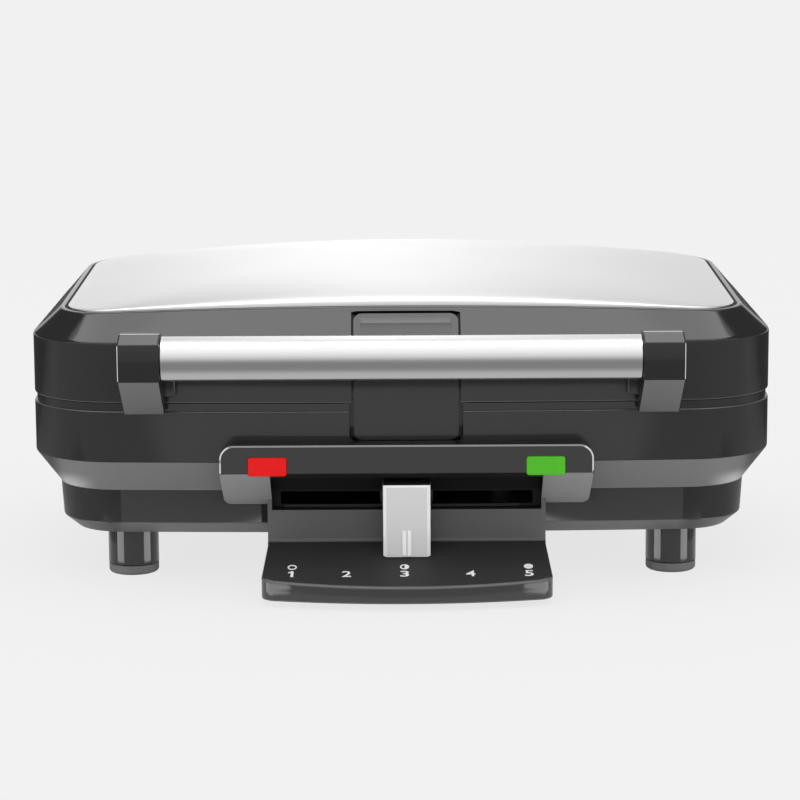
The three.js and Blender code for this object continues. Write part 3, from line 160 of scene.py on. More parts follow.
def card(name, corners, axis, stops, one_way=False):
    """A sheet with these corners, and (place along the axis, brightness) stops.

    A one-way card is clear from behind and for a grazing look.
    """
    bpy.ops.object.select_all(action="DESELECT")
    bpy.ops.mesh.primitive_plane_add(size=1.0)
    obj = bpy.context.object
    obj.name = name
    for vertex, corner in zip(obj.data.vertices, [corners[i] for i in (0, 1, 3, 2)]):
        vertex.co = corner
    mat = bpy.data.materials.new(name)
    mat.use_nodes = True
    tree = mat.node_tree
    tree.nodes.clear()
    out = tree.nodes.new("ShaderNodeOutputMaterial")
    glow = tree.nodes.new("ShaderNodeEmission")
    coords = tree.nodes.new("ShaderNodeTexCoord")
    parts = tree.nodes.new("ShaderNodeSeparateXYZ")
    ramp = tree.nodes.new("ShaderNodeFloatCurve")
    span = tree.nodes.new("ShaderNodeMapRange")
    low, high = stops[0][0], stops[-1][0]
    span.inputs["From Min"].default_value = low
    span.inputs["From Max"].default_value = high
    wire(tree, coords.outputs["Object"], parts.inputs[0])
    wire(tree, parts.outputs["XYZ".index(axis)], span.inputs["Value"])
    wire(tree, span.outputs["Result"], ramp.inputs["Value"])
    most = max(value for _, value in stops)
    curve = ramp.mapping.curves[0]
    while len(curve.points) < len(stops):
        curve.points.new(0.5, 0.5)
    for point, (place, value) in zip(curve.points, stops):
        point.location = ((place - low) / (high - low), value / most)
        point.handle_type = "VECTOR"
    ramp.mapping.update()
    wire(tree, maths(tree, "MULTIPLY", ramp.outputs["Value"], most), glow.inputs["Strength"])
    if one_way:
        facing = tree.nodes.new("ShaderNodeNewGeometry")
        clear = tree.nodes.new("ShaderNodeBsdfTransparent")
        either = tree.nodes.new("ShaderNodeMixShader")
        slant = tree.nodes.new("ShaderNodeLayerWeight")
        grazing = maths(tree, "GREATER_THAN", slant.outputs["Facing"], 0.6)
        wire(tree, maths(tree, "MAXIMUM", grazing, facing.outputs["Backfacing"]), either.inputs[0])
        wire(tree, glow.outputs[0], either.inputs[1])
        wire(tree, clear.outputs[0], either.inputs[2])
        wire(tree, either.outputs[0], out.inputs["Surface"])
    else:
        wire(tree, glow.outputs[0], out.inputs["Surface"])
    obj.data.materials.append(mat)
    obj.visible_camera = False
    obj.visible_diffuse = False
    obj.visible_shadow = False
    obj.visible_transmission = False
    return obj


def sheet_at(name, xs, ys, z, axis, stops, one_way=False):
    """A level card that faces up."""
    corners = [(xs[0], ys[0], z), (xs[1], ys[0], z), (xs[1], ys[1], z), (xs[0], ys[1], z)]
    return card(name, corners, axis, stops, one_way)


def wall_at(name, xs, y, zs, axis, stops):
    """An upright card across the view."""
    corners = [(xs[0], y, zs[0]), (xs[1], y, zs[0]), (xs[1], y, zs[1]), (xs[0], y, zs[1])]
    return card(name, corners, axis, stops)


def post_card(name, foot, way, reach, width, zs, value):
    """An upright one-way card beside a point, facing it."""
    centre = Vector(foot) + Vector(way).normalized() * reach
    along = Vector((-way[1], way[0])).normalized() * width / 2
    a, b = centre + along, centre - along
    if (b - a).cross(Vector(foot) - a) < 0:
        a, b = b, a
    return card(name, [(a.x, a.y, zs[0]), (a.x, a.y, zs[1]), (b.x, b.y, zs[1]), (b.x, b.y, zs[0])], "Z",
                [(zs[0], value), (zs[1], value)], True)


BACK_GLOW = [(-1.05, 0.36), (-0.16, 1.42), (0.85, 0.56), (1.05, 0.4)]
HIGH_GLOW = [(-1.1, 0.35), (-0.44, 0.68), (-0.23, 0.94), (-0.06, 1.38), (0.03, 1.28), (0.16, 1.02),
             (0.29, 0.85), (0.42, 0.74), (1.1, 0.4)]
DARK = 0.03
DIM = 0.04
SOFT_BOX = 3.2
FLOOR_TONE = 0.45
FAR_X, FAR_Y = 2.6, 2.15
FLAG_TOP = 1.2
FOOT_AT = (0.1453, -0.0564)
wall_at("graded_back", (-1.05, 1.05), 2.2, (0.0, 1.05), "X", BACK_GLOW)
wall_at("graded_high", (-1.1, 1.1), 2.2, (1.05, 2.6), "X", HIGH_GLOW)
sheet_at("graded_top", (-1.1, 1.1), (1.1, 2.2), 2.6, "X", HIGH_GLOW)
wall_at("ahead_high", (-4.0, 4.0), -3.0, (0.6, 5.2), "Z", [(0.6, 0.72), (1.4, 0.86), (2.6, 1.05), (5.2, 1.2)])
sheet_at("under_bar", (-0.5, 0.5), (-0.34, -0.165), 0.003, "Y",
         [(-0.34, 0.8), (-0.31, 0.25), (-0.243, 0.235), (-0.224, 0.28), (-0.201, 0.34), (-0.165, 0.44)])
wall_at("before_bar", (-0.155, 0.155), -0.175, (0.095, 0.137), "Z",
        [(0.095, 0.235), (0.1153, 0.235), (0.1199, 0.27), (0.1248, 0.37), (0.1293, 0.52), (0.137, 0.67)])
sheet_at("below_bar", (-0.132, 0.132), (-0.146, -0.103), 0.081, "Y", [(-0.146, 0.48), (-0.103, 0.55)], True)
for side, s in (("left", -1), ("right", 1)):
    far_x = s * FAR_X
    sheet_at("front_box_" + side, sorted((s * 0.35, s * 1.4)), (-0.6, 0.3), 1.45, "Y",
             [(-0.6, SOFT_BOX), (0.3, SOFT_BOX)])
    sheet_at("over_" + side, sorted((s * 0.93, far_x)), (-0.7, FAR_Y), FLAG_TOP, "Y",
             [(-0.7, DARK), (FAR_Y, DARK)])
    wall_at("far_" + side, sorted((s * 1.05, far_x)), FAR_Y, (0.36, FLAG_TOP), "Z",
            [(0.36, DIM), (FLAG_TOP, DIM)])
    card("end_" + side, [(far_x, -0.7, 0.3), (far_x, FAR_Y, 0.3), (far_x, FAR_Y, FLAG_TOP),
                         (far_x, -0.7, FLAG_TOP)], "Z", [(0.3, DIM), (FLAG_TOP, DIM)])
    card("ahead_" + side, [(s * 0.16, -0.34, 0.002), (far_x, -0.34, 0.002), (far_x, -1.2, 0.002),
                           (s * 0.37, -1.2, 0.002)], "Y", [(-1.2, FLOOR_TONE), (-0.34, FLOOR_TONE)])
    sheet_at("beside_" + side, sorted((s * 0.22, far_x)), (-0.34, FAR_Y), 0.002, "Y",
             [(-0.34, FLOOR_TONE), (0.0, FLOOR_TONE), (0.3, 0.05), (FAR_Y, 0.05)])
    post_card("glint_" + side, (s * 0.066 + 0.0024, -0.134), (0.72 * s, -0.69), 0.031, 0.045,
              (0.0003, 0.0092), 4.0)
    for k, end in ((-1, "a"), (1, "b")):
        angle = math.radians(54.0 * k - 5.6 * s)
        post_card("streak_" + side + end, (s * FOOT_AT[0], FOOT_AT[1]), (math.sin(angle), -math.cos(angle)),
                  0.04, 0.021, (0.0005, 0.0215), 5.0)

# %% [markdown]
# # Tools
# Sizes are written in millimetres, measured from the middle of the body, as the object's maker would.
# A piece starts as a primitive whose corners are moved to an outline, is extruded step by step or
# bevelled, and is scaled to metres and set in place when it is done.

# %% Helpers
SHIFT = 18.575
HALF_W, HALF_D, CORNER, BOW = 197.0, 120.0, 48.0, 3.7
CONTROLS = 2.4
BEVEL_FOOT = 130.7
TAB_HALF, POCKET_HALF, BAY_HALF, SLOT_HALF = 27.3, 29.7, 32.3, 66.6
BAR_HALF, BAR_FRONT, BAR_TOP = 97.0, -134.0, 79.3
RECESS_HALF, NECK_HALF, NECK_FRONT = 71.0, 73.3, -111.15
SHELF_HALF, SHELF_TIP, SHELF_RADIUS, SHELF_CORNER = 75.0, -169.15, 300.0, 9.0
SHELF_BACK, SHELF_DROP, SHELF_RUN = 23.5, 11.1, 58.0
LENS_AT = 72.2
KNOB_HALF = 12.3
FOOT_X, FOOT_Y = 145.3, 75.0
SHADE_FROM = 17.0


def arc(centre, radius, start, end, steps):
    points = []
    for i in range(steps + 1):
        angle = math.radians(start + (end - start) * i / steps)
        points.append((centre[0] + radius * math.cos(angle), centre[1] + radius * math.sin(angle)))
    return points


def circle(centre, radius, count):
    return [(centre[0] + radius * math.cos(2 * math.pi * k / count),
             centre[1] + radius * math.sin(2 * math.pi * k / count)) for k in range(count)]


def rounded(points, radii, steps=4, closed=True):
    """The outline with each corner turned into an arc of its own radius."""
    result = []
    count = len(points)
    for i, point in enumerate(points):
        radius = radii[i] if isinstance(radii, (list, tuple)) else radii
        if radius <= 0 or (not closed and i in (0, count - 1)):
            result.append(tuple(point))
            continue
        here = Vector(point)
        before = (Vector(points[i - 1]) - here)
        after = (Vector(points[(i + 1) % count]) - here)
        angle = before.angle(after)
        reach = radius / math.tan(angle / 2)
        reach = min(reach, 0.49 * before.length, 0.49 * after.length)
        true_radius = reach * math.tan(angle / 2)
        start = here + before.normalized() * reach
        end = here + after.normalized() * reach
        middle = here + (before.normalized() + after.normalized()).normalized() * (
            true_radius / math.sin(angle / 2))
        first = start - middle
        sweep = math.pi - angle
        turn_way = 1.0 if before.x * after.y - before.y * after.x < 0 else -1.0
        for k in range(steps + 1):
            a = turn_way * sweep * k / steps
            c, s = math.cos(a), math.sin(a)
            result.append((middle.x + c * first.x - s * first.y, middle.y + s * first.x + c * first.y))
    return result


def fresh(name):
    """Names the object just added."""
    obj = bpy.context.object
    obj.name = name
    obj.data.name = name
    return obj


def select_only(obj):
    bpy.ops.object.select_all(action="DESELECT")
    bpy.context.view_layer.objects.active = obj
    obj.select_set(True)


def ring_start(name, points):
    """A circle primitive with its corners moved to points."""
    if bpy.context.object and bpy.context.object.mode != "OBJECT":
        bpy.ops.object.mode_set(mode="OBJECT")
    bpy.ops.object.select_all(action="DESELECT")
    bpy.ops.mesh.primitive_circle_add(vertices=len(points), radius=1.0, fill_type="NOTHING")
    obj = fresh(name)
    for vertex, point in zip(obj.data.vertices, points):
        vertex.co = point
    bpy.ops.object.mode_set(mode="EDIT")
    bpy.ops.mesh.select_all(action="SELECT")
    return obj


def grow(obj, old, new):
    """Extrudes the selected ring and moves its corners from old to new."""
    bpy.ops.mesh.extrude_region_move()
    mesh = bmesh.from_edit_mesh(obj.data)
    tree = kdtree.KDTree(len(old))
    for i, point in enumerate(old):
        tree.insert(point, i)
    tree.balance()
    for vertex in mesh.verts:
        if vertex.select:
            vertex.co = new[tree.find(vertex.co)[1]]
    bmesh.update_edit_mesh(obj.data)


def face_outward(obj):
    """In edit mode: turns the faces of a closed body outward.

    The operator alone can turn all of them inward, depending on the order that a boolean leaves them in.
    """
    bpy.ops.mesh.normals_make_consistent(inside=False)
    if bmesh.from_edit_mesh(obj.data).calc_volume(signed=True) < 0:
        bpy.ops.mesh.flip_normals()


def swept(name, rings, closed=False, capped=False):
    """A body grown ring by ring.

    Closed joins the last ring to the first. Capped fills the first ring, and growing carries a copy of
    that face along to the last one.
    """
    obj = ring_start(name, rings[0])
    if capped:
        bpy.ops.mesh.edge_face_add()
    old = rings[0]
    for new in rings[1:] + ([rings[0]] if closed else []):
        grow(obj, old, new)
        old = new
    bpy.ops.mesh.select_all(action="SELECT")
    bpy.ops.mesh.remove_doubles(threshold=0.0002)
    face_outward(obj)
    bpy.ops.object.mode_set(mode="OBJECT")
    return obj


def prism(name, outline, axis, start, end):
    """An outline carried along an axis. For x the outline is (y, z), for y it is (x, z)."""
    def at(value):
        if axis == "x":
            return [(value, a, b) for a, b in outline]
        if axis == "y":
            return [(a, value, b) for a, b in outline]
        return [(a, b, value) for a, b in outline]
    return swept(name, [at(start), at(end)], capped=True)


def boolean(target, other, operation="DIFFERENCE"):
    mod = target.modifiers.new("cut", "BOOLEAN")
    mod.operation = operation
    mod.solver = "EXACT"
    mod.object = other
    apply_all(target)
    mesh = other.data
    bpy.data.objects.remove(other)
    bpy.data.meshes.remove(mesh)


def apply_all(obj):
    select_only(obj)
    for mod in list(obj.modifiers):
        bpy.ops.object.modifier_apply(modifier=mod.name)


def bevel_edges(obj, test, width, segments=3):
    """Rounds the edges whose two ends pass the test."""
    select_only(obj)
    bpy.ops.object.mode_set(mode="EDIT")
    bpy.ops.mesh.select_mode(type="EDGE")
    bpy.ops.mesh.select_all(action="DESELECT")
    mesh = bmesh.from_edit_mesh(obj.data)
    count = 0
    for edge in mesh.edges:
        if test(edge.verts[0].co, edge.verts[1].co, edge):
            edge.select = True
            count += 1
    bmesh.update_edit_mesh(obj.data)
    if count:
        bpy.ops.mesh.bevel(offset=width, segments=segments, profile=0.5, affect="EDGES")
    bpy.ops.mesh.select_mode(type="VERT")
    bpy.ops.object.mode_set(mode="OBJECT")
    return count


def soften(obj, width, segments=3, angle=35.0):
    """Rounds every edge sharper than the angle."""
    mod = obj.modifiers.new("soft", "BEVEL")
    mod.width = width
    mod.segments = segments
    mod.limit_method = "ANGLE"
    mod.angle_limit = math.radians(angle)
    mod.miter_outer = "MITER_ARC"
    mod.use_clamp_overlap = True
    apply_all(obj)


def tidy(obj, distance=0.004):
    select_only(obj)
    bpy.ops.object.mode_set(mode="EDIT")
    bpy.ops.mesh.select_all(action="SELECT")
    bpy.ops.mesh.remove_doubles(threshold=distance)
    bpy.ops.mesh.dissolve_limited(angle_limit=math.radians(0.5))
    face_outward(obj)
    bpy.ops.object.mode_set(mode="OBJECT")


def settle(obj, body, nodes, material, others=(), angle=30.0):
    """Millimetres become metres, the shading is set, and the piece takes its place.

    others holds (finish, test of a face's centre and normal) pairs for the faces that differ.
    """
    select_only(obj)
    obj.data.materials.clear()
    obj.data.materials.append(material)
    for finish, _ in others:
        obj.data.materials.append(finish)
    for face in obj.data.polygons:
        for i, (_, test) in enumerate(others):
            if test(face.center, face.normal):
                face.material_index = i + 1
                break
    obj.scale = (0.001, 0.001, 0.001)
    obj.location = (0.0, 0.001 * SHIFT, 0.0)
    bpy.ops.object.transform_apply(location=True, rotation=True, scale=True)
    bpy.ops.object.shade_smooth_by_angle(angle=math.radians(angle))
    mod = obj.modifiers.new("even", "WEIGHTED_NORMAL")
    mod.keep_sharp = True
    apply_all(obj)
    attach(obj, body)
    if nodes:
        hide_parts(*nodes)
    return obj


def copy_of(obj, name, move=(0.0, 0.0), mirror=False):
    """A copy with its own mesh, moved or mirrored from left to right, in millimetres."""
    twin = obj.copy()
    twin.data = obj.data.copy()
    twin.name = twin.data.name = name
    bpy.context.scene.collection.objects.link(twin)
    if mirror:
        twin.data.transform(Matrix.Scale(-1.0, 4, (1.0, 0.0, 0.0)))
    twin.data.transform(Matrix.Translation((*move, 0.0)))
    select_only(twin)
    bpy.ops.object.mode_set(mode="EDIT")
    bpy.ops.mesh.select_all(action="SELECT")
    face_outward(twin)
    bpy.ops.object.mode_set(mode="OBJECT")
    return twin


def plan(inset, front=24, corner=12, side=8, back_steps=24):
    """The body seen from above: a rounded rectangle whose front bows out a little."""
    half_w, half_d = HALF_W - inset, HALF_D - inset
    radius = max(CORNER - inset, 4.0)
    straight = half_w - radius
    points = []
    for i in range(front + 1):
        x = straight * (2 * i / front - 1)
        points.append((x, BOW * (x / straight) ** 2 - half_d))
    front_y = BOW + radius - half_d
    points += arc((straight, front_y), radius, -90, 0, corner)[1:]
    for i in range(1, side):
        points.append((half_w, front_y + (half_d - radius - front_y) * i / side))
    points += arc((straight, half_d - radius), radius, 0, 90, corner)
    for i in range(1, back_steps):
        points.append((straight * (1 - 2 * i / back_steps), half_d))
    points += arc((-straight, half_d - radius), radius, 90, 180, corner)
    for i in range(1, side):
        points.append((-half_w, half_d - radius - (half_d - radius - front_y) * i / side))
    points += arc((-straight, front_y), radius, 180, 270, corner)[:-1]
    return points


def level(inset, height, share=1.0):
    """One ring of the body outline, with a height or a height worked out at each point."""
    ring = []
    for x, y in plan(inset):
        px, py = x * share, y * share
        ring.append((px, py, height(px, py) if callable(height) else height))
    return ring


print("ring of", len(plan(0)), "points")

# %% [markdown]
# # Materials
# The body is moulded ABS with a polished tool, so it is glossy but not a mirror: there is a faint
# waviness and fine dust-like scatter. Its facets that face down are softer, and a lighter grey that is
# painted reflection of the pale floor. The steel is brushed from side to side. The slider is painted silver.

# %% Node groups


def group(name, outputs):
    tree = bpy.data.node_groups.new(name, "ShaderNodeTree")
    for socket in outputs:
        tree.interface.new_socket(socket, in_out="OUTPUT", socket_type="NodeSocketFloat")
    return tree


FINE, COARSE = 2600.0, 22.0
EVEN = (1.0, 1.0, 1.0)


def stretched_noise(tree, scale, stretch, detail):
    coords = tree.nodes.new("ShaderNodeTexCoord")
    mapping = tree.nodes.new("ShaderNodeMapping")
    mapping.inputs["Scale"].default_value = stretch
    noise = tree.nodes.new("ShaderNodeTexNoise")
    noise.inputs["Scale"].default_value = scale
    noise.inputs["Detail"].default_value = detail
    noise.inputs["Roughness"].default_value = 0.55
    wire(tree, coords.outputs["Object"], mapping.inputs["Vector"])
    wire(tree, mapping.outputs["Vector"], noise.inputs["Vector"])
    return noise.outputs["Fac"]


brushing = group("brushing", ["Streaks", "Patches"])
ends = brushing.nodes.new("NodeGroupOutput")
wire(brushing, stretched_noise(brushing, 900.0, (0.012, 1.0, 1.0), 3.0), ends.inputs["Streaks"])
wire(brushing, stretched_noise(brushing, 14.0, EVEN, 2.0), ends.inputs["Patches"])

moulding = group("moulding", ["Grain", "Wave"])
ends = moulding.nodes.new("NodeGroupOutput")
wire(moulding, stretched_noise(moulding, FINE, EVEN, 2.0), ends.inputs["Grain"])
wire(moulding, stretched_noise(moulding, COARSE, EVEN, 2.0), ends.inputs["Wave"])

# Painted reflection: the light of the facets dies away round the corners, sooner on the low chamfer
# than on the undercut, and a painted highlight shines at the two ends of the undercut.
facet_painted_light = group("facet_painted_light", ["Tone", "Wave"])
ends = facet_painted_light.nodes.new("NodeGroupOutput")
coords = facet_painted_light.nodes.new("ShaderNodeTexCoord")
parts = facet_painted_light.nodes.new("ShaderNodeSeparateXYZ")
wire(facet_painted_light, coords.outputs["Object"], parts.inputs[0])


def smooth(tree, value, start, end):
    """Nought before start and one after end, with a soft step between."""
    step = tree.nodes.new("ShaderNodeMapRange")
    step.interpolation_type = "SMOOTHSTEP"
    step.inputs["From Min"].default_value = start
    step.inputs["From Max"].default_value = end
    wire(tree, value, step.inputs["Value"])
    return step.outputs["Result"]


aside = maths(facet_painted_light, "ABSOLUTE", parts.outputs[0])
is_low = maths(facet_painted_light, "LESS_THAN", parts.outputs[2], 0.04)
reach = maths(facet_painted_light, "ADD", aside, maths(facet_painted_light, "MULTIPLY", is_low, 0.033))
lit = maths(facet_painted_light, "SUBTRACT", 1.0, smooth(facet_painted_light, reach, 0.178, 0.188))
lit = maths(facet_painted_light, "MULTIPLY", lit, maths(facet_painted_light, "SUBTRACT", 1.0, maths(facet_painted_light, "MULTIPLY", is_low, 0.2)))
painted_highlight = maths(facet_painted_light, "MULTIPLY", smooth(facet_painted_light, aside, 0.16, 0.178),
              maths(facet_painted_light, "SUBTRACT", 1.0, smooth(facet_painted_light, parts.outputs[2], 0.0515, 0.06)))
painted_highlight = maths(facet_painted_light, "MULTIPLY", maths(facet_painted_light, "SUBTRACT", painted_highlight, is_low), 0.6)
grain_and_painted_reflection = maths(facet_painted_light, "MULTIPLY", stretched_noise(facet_painted_light, FINE, EVEN, 2.0), 0.04)
grain_and_painted_reflection = maths(facet_painted_light, "ADD", grain_and_painted_reflection, 0.23)
painted_light_tone = maths(facet_painted_light, "MULTIPLY", lit, maths(facet_painted_light, "ADD", grain_and_painted_reflection, maths(facet_painted_light, "MAXIMUM", painted_highlight, 0.0)))
wire(facet_painted_light, painted_light_tone, ends.inputs["Tone"])
wire(facet_painted_light, stretched_noise(facet_painted_light, COARSE, EVEN, 2.0), ends.inputs["Wave"])
print("groups:", [g.name for g in bpy.data.node_groups])

# %% Material maker


def material(name, source, colour, dark, rough, spread, bump, **constants):
    """A Principled surface whose colour and roughness vary a little with a node group's values."""
    mat = bpy.data.materials.new(name)
    mat.use_nodes = True
    tree = mat.node_tree
    shader = tree.nodes["Principled BSDF"]
    values = tree.nodes.new("ShaderNodeGroup")
    values.node_tree = source
    mix = tree.nodes.new("ShaderNodeMix")
    mix.data_type = "RGBA"
    mix.inputs[6].default_value = (*dark, 1.0)
    mix.inputs[7].default_value = (*colour, 1.0)
    wire(tree, values.outputs[0], mix.inputs[0])
    wire(tree, mix.outputs[2], shader.inputs["Base Color"])
    span = tree.nodes.new("ShaderNodeMapRange")
    span.inputs["To Min"].default_value = rough - spread
    span.inputs["To Max"].default_value = rough + spread
    wire(tree, values.outputs[1], span.inputs["Value"])
    wire(tree, span.outputs["Result"], shader.inputs["Roughness"])
    if bump:
        rise = tree.nodes.new("ShaderNodeBump")
        rise.inputs["Strength"].default_value = bump
        rise.inputs["Distance"].default_value = 0.0002
        wire(tree, values.outputs[0], rise.inputs["Height"])
        wire(tree, rise.outputs["Normal"], shader.inputs["Normal"])
    for socket, value in constants.items():
        shader.inputs[socket.replace("_", " ")].default_value = value
    return mat


def grey(value):
    return (value, value, value)


gloss = material("gloss_black", moulding, grey(0.02), grey(0.017), 0.1, 0.02, 0.02)
# Painted reflection: a light grey on black facets stands in for the pale surroundings that they reflect, on
# the brackets' down-facing facets and a ledge of the latch tab. Its higher roughness is a real satin.
satin_painted_reflection = material("satin_grey_painted_reflection", moulding, grey(0.15), grey(0.13), 0.42, 0.05, 0.08)
# Painted reflection and painted highlight in the colour of the base's down-facing facets, from the group
# above. Only the fine grain is real.
facet_painted_reflection = material("facet_black_painted_reflection", facet_painted_light, grey(0.56), grey(0.02), 0.38, 0.05, 0.04)
# Painted reflection: a lighter grey on the lamp bar's down-facing cheeks stands in for the floor that they
# reflect.
cheek_painted_reflection = material("light_facet_painted_reflection", moulding, grey(0.26), grey(0.23), 0.42, 0.05, 0.08)
# Painted highlight: a lighter grey on the brackets' top facets stands in for the overhead light that they
# reflect.
bracket_top_painted_highlight = material("bracket_top_painted_highlight", moulding, grey(0.11), grey(0.095), 0.22, 0.04, 0.06)
# Painted light: a lighter, lit copy of the gloss black on the base's lower wall and the shelf's front face.
painted_lighter_black = material("gloss_black_painted_lighter", moulding, grey(0.042), grey(0.037), 0.12, 0.02, 0.02)
# Painted highlights: three greys, soft, middling and near-white, on rounded edges of the black mouldings
# stand in for the thin highlights that those edges catch.
edge = material("edge_painted_highlight_soft", moulding, grey(0.11), grey(0.09), 0.2, 0.03, 0.02)
painted_edge_highlight_mid = material("edge_painted_highlight_mid", moulding, grey(0.32), grey(0.27), 0.2, 0.03, 0.02)
painted_edge_highlight_bright = material("edge_painted_highlight_bright", moulding, grey(0.75), grey(0.65), 0.16, 0.03, 0.02)
# Painted light: a lighter grey copy of the black moulding, with more roughness, on the neck's front faces.
neck_painted_lighter = material("neck_painted_lighter", moulding, grey(0.1), grey(0.088), 0.42, 0.05, 0.06)
# Matte black with little shine for the shelf's top. On the silver slider's top face the same dark finish is
# painted shade, in place of the dark recess that the top reflects.
matte_black_and_painted_shade = material("matte_black_and_painted_shade", moulding, grey(0.034), grey(0.029), 0.6, 0.04, 0.05,
                       Specular_IOR_Level=0.12)
shade_black = material("shade_black", moulding, grey(0.016), grey(0.013), 0.6, 0.04, 0.05,
                       Specular_IOR_Level=0.1)
satin = material("satin_black", moulding, grey(0.018), grey(0.015), 0.22, 0.04, 0.06)
steel = material("brushed_steel", brushing, grey(0.84), grey(0.79), 0.22, 0.03, 0.04, Metallic=1.0)
sheet = material("satin_steel", brushing, grey(0.83), grey(0.78), 0.36, 0.04, 0.04, Metallic=1.0)
silver = material("silver_paint", moulding, grey(0.71), grey(0.65), 0.36, 0.06, 0.1, Metallic=0.2)
# Near-white silver: the pointer lines' own colour, and a painted highlight on the slider's chamfers.
bright_silver_and_painted_highlight = material("silver_edge_painted_highlight", moulding, grey(0.95), grey(0.92), 0.25, 0.04, 0.02, Metallic=0.1)
cast = material("non_stick_cast", moulding, grey(0.03), grey(0.015), 0.45, 0.08, 0.3)
zinc = material("bare_steel", brushing, grey(0.6), grey(0.48), 0.38, 0.08, 0.08, Metallic=1.0)
sheet_metal = material("reflector_sheet", brushing, grey(0.75), grey(0.66), 0.3, 0.06, 0.05, Metallic=1.0)
sheath = material("heater_sheath", moulding, (0.2, 0.19, 0.19), (0.1, 0.09, 0.09), 0.5, 0.08, 0.1,
                  Metallic=0.8)
ceramic = material("ceramic", moulding, (0.74, 0.7, 0.63), (0.66, 0.62, 0.55), 0.7, 0.08, 0.2)
rubber = material("rubber", moulding, grey(0.14), grey(0.12), 0.7, 0.06, 0.25)
red = material("red_lens", moulding, (0.72, 0.007, 0.007), (0.64, 0.005, 0.005), 0.22, 0.03, 0.03,
               Emission_Color=(1.0, 0.01, 0.008, 1.0), Emission_Strength=0.08, Specular_IOR_Level=0.15)
green = material("green_lens", moulding, (0.075, 0.43, 0.015), (0.06, 0.38, 0.012), 0.22, 0.03, 0.03,
                 Emission_Color=(0.1, 0.8, 0.02, 1.0), Emission_Strength=0.07, Specular_IOR_Level=0.25)
glass = material("lamp_glass", moulding, (0.9, 0.88, 0.8), (0.85, 0.83, 0.75), 0.1, 0.02, 0.0,
                 Transmission_Weight=0.8)
sleeve = material("wire_sleeve", moulding, (0.5, 0.46, 0.36), (0.4, 0.36, 0.27), 0.85, 0.05, 0.5)
ink = material("white_print", moulding, grey(0.85), grey(0.8), 0.55, 0.05, 0.05)
FINISH = {
    "gloss_black": gloss, "satin_black": satin, "brushed_steel": steel, "silver_paint": silver,
    "non_stick_cast": cast, "bare_steel": zinc, "reflector_sheet": sheet_metal, "heater_sheath": sheath,
    "ceramic": ceramic, "rubber": rubber, "red_lens": red, "green_lens": green, "lamp_glass": glass,
    "wire_sleeve": sleeve,
}
for part in frame["record"]["subparts"]:
    node = frame["nodes"][part["node"]]
    for place in node.material_slots:
        place.material = FINISH[part["material_slot"]]
print(len(FINISH), "finishes on", len(frame["nodes"]), "nodes")

# %% [markdown]
# # The base
# One moulding: a wall that bows slightly in front, a facet that runs in under it, a lower wall and a
# chamfer at the bottom. A shallow band under the rim makes the shadow line between the halves.

# %% Base body
base_walls = rounded(
    [(22, 25.4), (14, 32), (13, 50.4), (0, 67.5), (0, 94.6), (1.2, 94.6), (1.2, 98.9), (3.7, 98.9),
     (3.7, 88), (21, 88), (21, 85.5), (2.5, 85.5), (3.14, 67.5), (16.14, 50.4), (17.14, 32),
     (24.5, 27.9), (24.5, 25.4)],
    [1.2, 1.6, 1.2, 1.4, 0.7, 0, 0.3, 0.3, 0, 0.5, 0, 0, 0, 0, 0, 0, 0])
base = swept("base_body", [level(i, z) for i, z in base_walls], closed=True)
bay = prism("bay", [(-118.75, 75.9), (-118.75, 98.9), (-104.0, 98.9), (-104.0, 75.9)], "x",
            CONTROLS - BAY_HALF, CONTROLS + BAY_HALF)
boolean(base, bay, "UNION")
left, right = CONTROLS - POCKET_HALF, CONTROLS + POCKET_HALF
pocket_view = [(left, 78.5), (right, 78.5), (right, 110), (left, 110)]
pocket = prism("pocket", rounded(pocket_view, [4, 4, 0, 0], 6), "y", -126.0, -106.6)
boolean(base, pocket)
left, right = CONTROLS - SLOT_HALF, CONTROLS + SLOT_HALF
slot_view = [(left, 42.4), (right, 42.4), (right, 49.6), (left, 49.6)]
slot = prism("slot", rounded(slot_view, 1.0, 3), "y", -113.0, -97.9)
boolean(base, slot)
hole = prism("hole", arc((60, 39.5), 7.3, 0, 352.5, 47), "y", 101.0, 113.0)
boolean(base, hole)
# Painted shade in the slider's recess, a painted lighter tone on the lower wall, painted reflection and
# highlight on the down-facing facets, and a painted highlight on the rim's edge.
settle(base, "base", ["base_shell"], gloss, [
    (shade_black, lambda c, n: abs(c.x - CONTROLS) < 72.5 and c.y < -95 and 40.5 < c.z < 68.2),
    (painted_lighter_black, lambda c, n: c.y < -100 and abs(c.x) < 149 and 33 < c.z < 49.5 and abs(n.z) < 0.2),
    (facet_painted_reflection, lambda c, n: n.z < -0.25 and (25.0 < c.z < 33.0 or 49.5 < c.z < 68.2)),
    (edge, lambda c, n: 93.6 < c.z < 94.7 and n.z > 0.3),
])
print("base:", len(base.data.polygons), "faces")

# %% [markdown]
# # The lid
# The wall rises to a broad bevel, and the bevel ends at a ledge that holds the steel cover. The ledge
# climbs towards the back and is crowned from side to side.

# %% Lid body


def ledge(x, y):
    return BEVEL_FOOT + 12.6 + 4.3 * (1 - (x / 178) ** 2) + 5.3 * (y + 101) / 202


def over(drop):
    """A height that follows the ledge, a little below it."""
    return lambda x, y: ledge(x, y) - drop


def along_bevel(share):
    return lambda x, y: BEVEL_FOOT + (ledge(x, y) - BEVEL_FOOT) * share


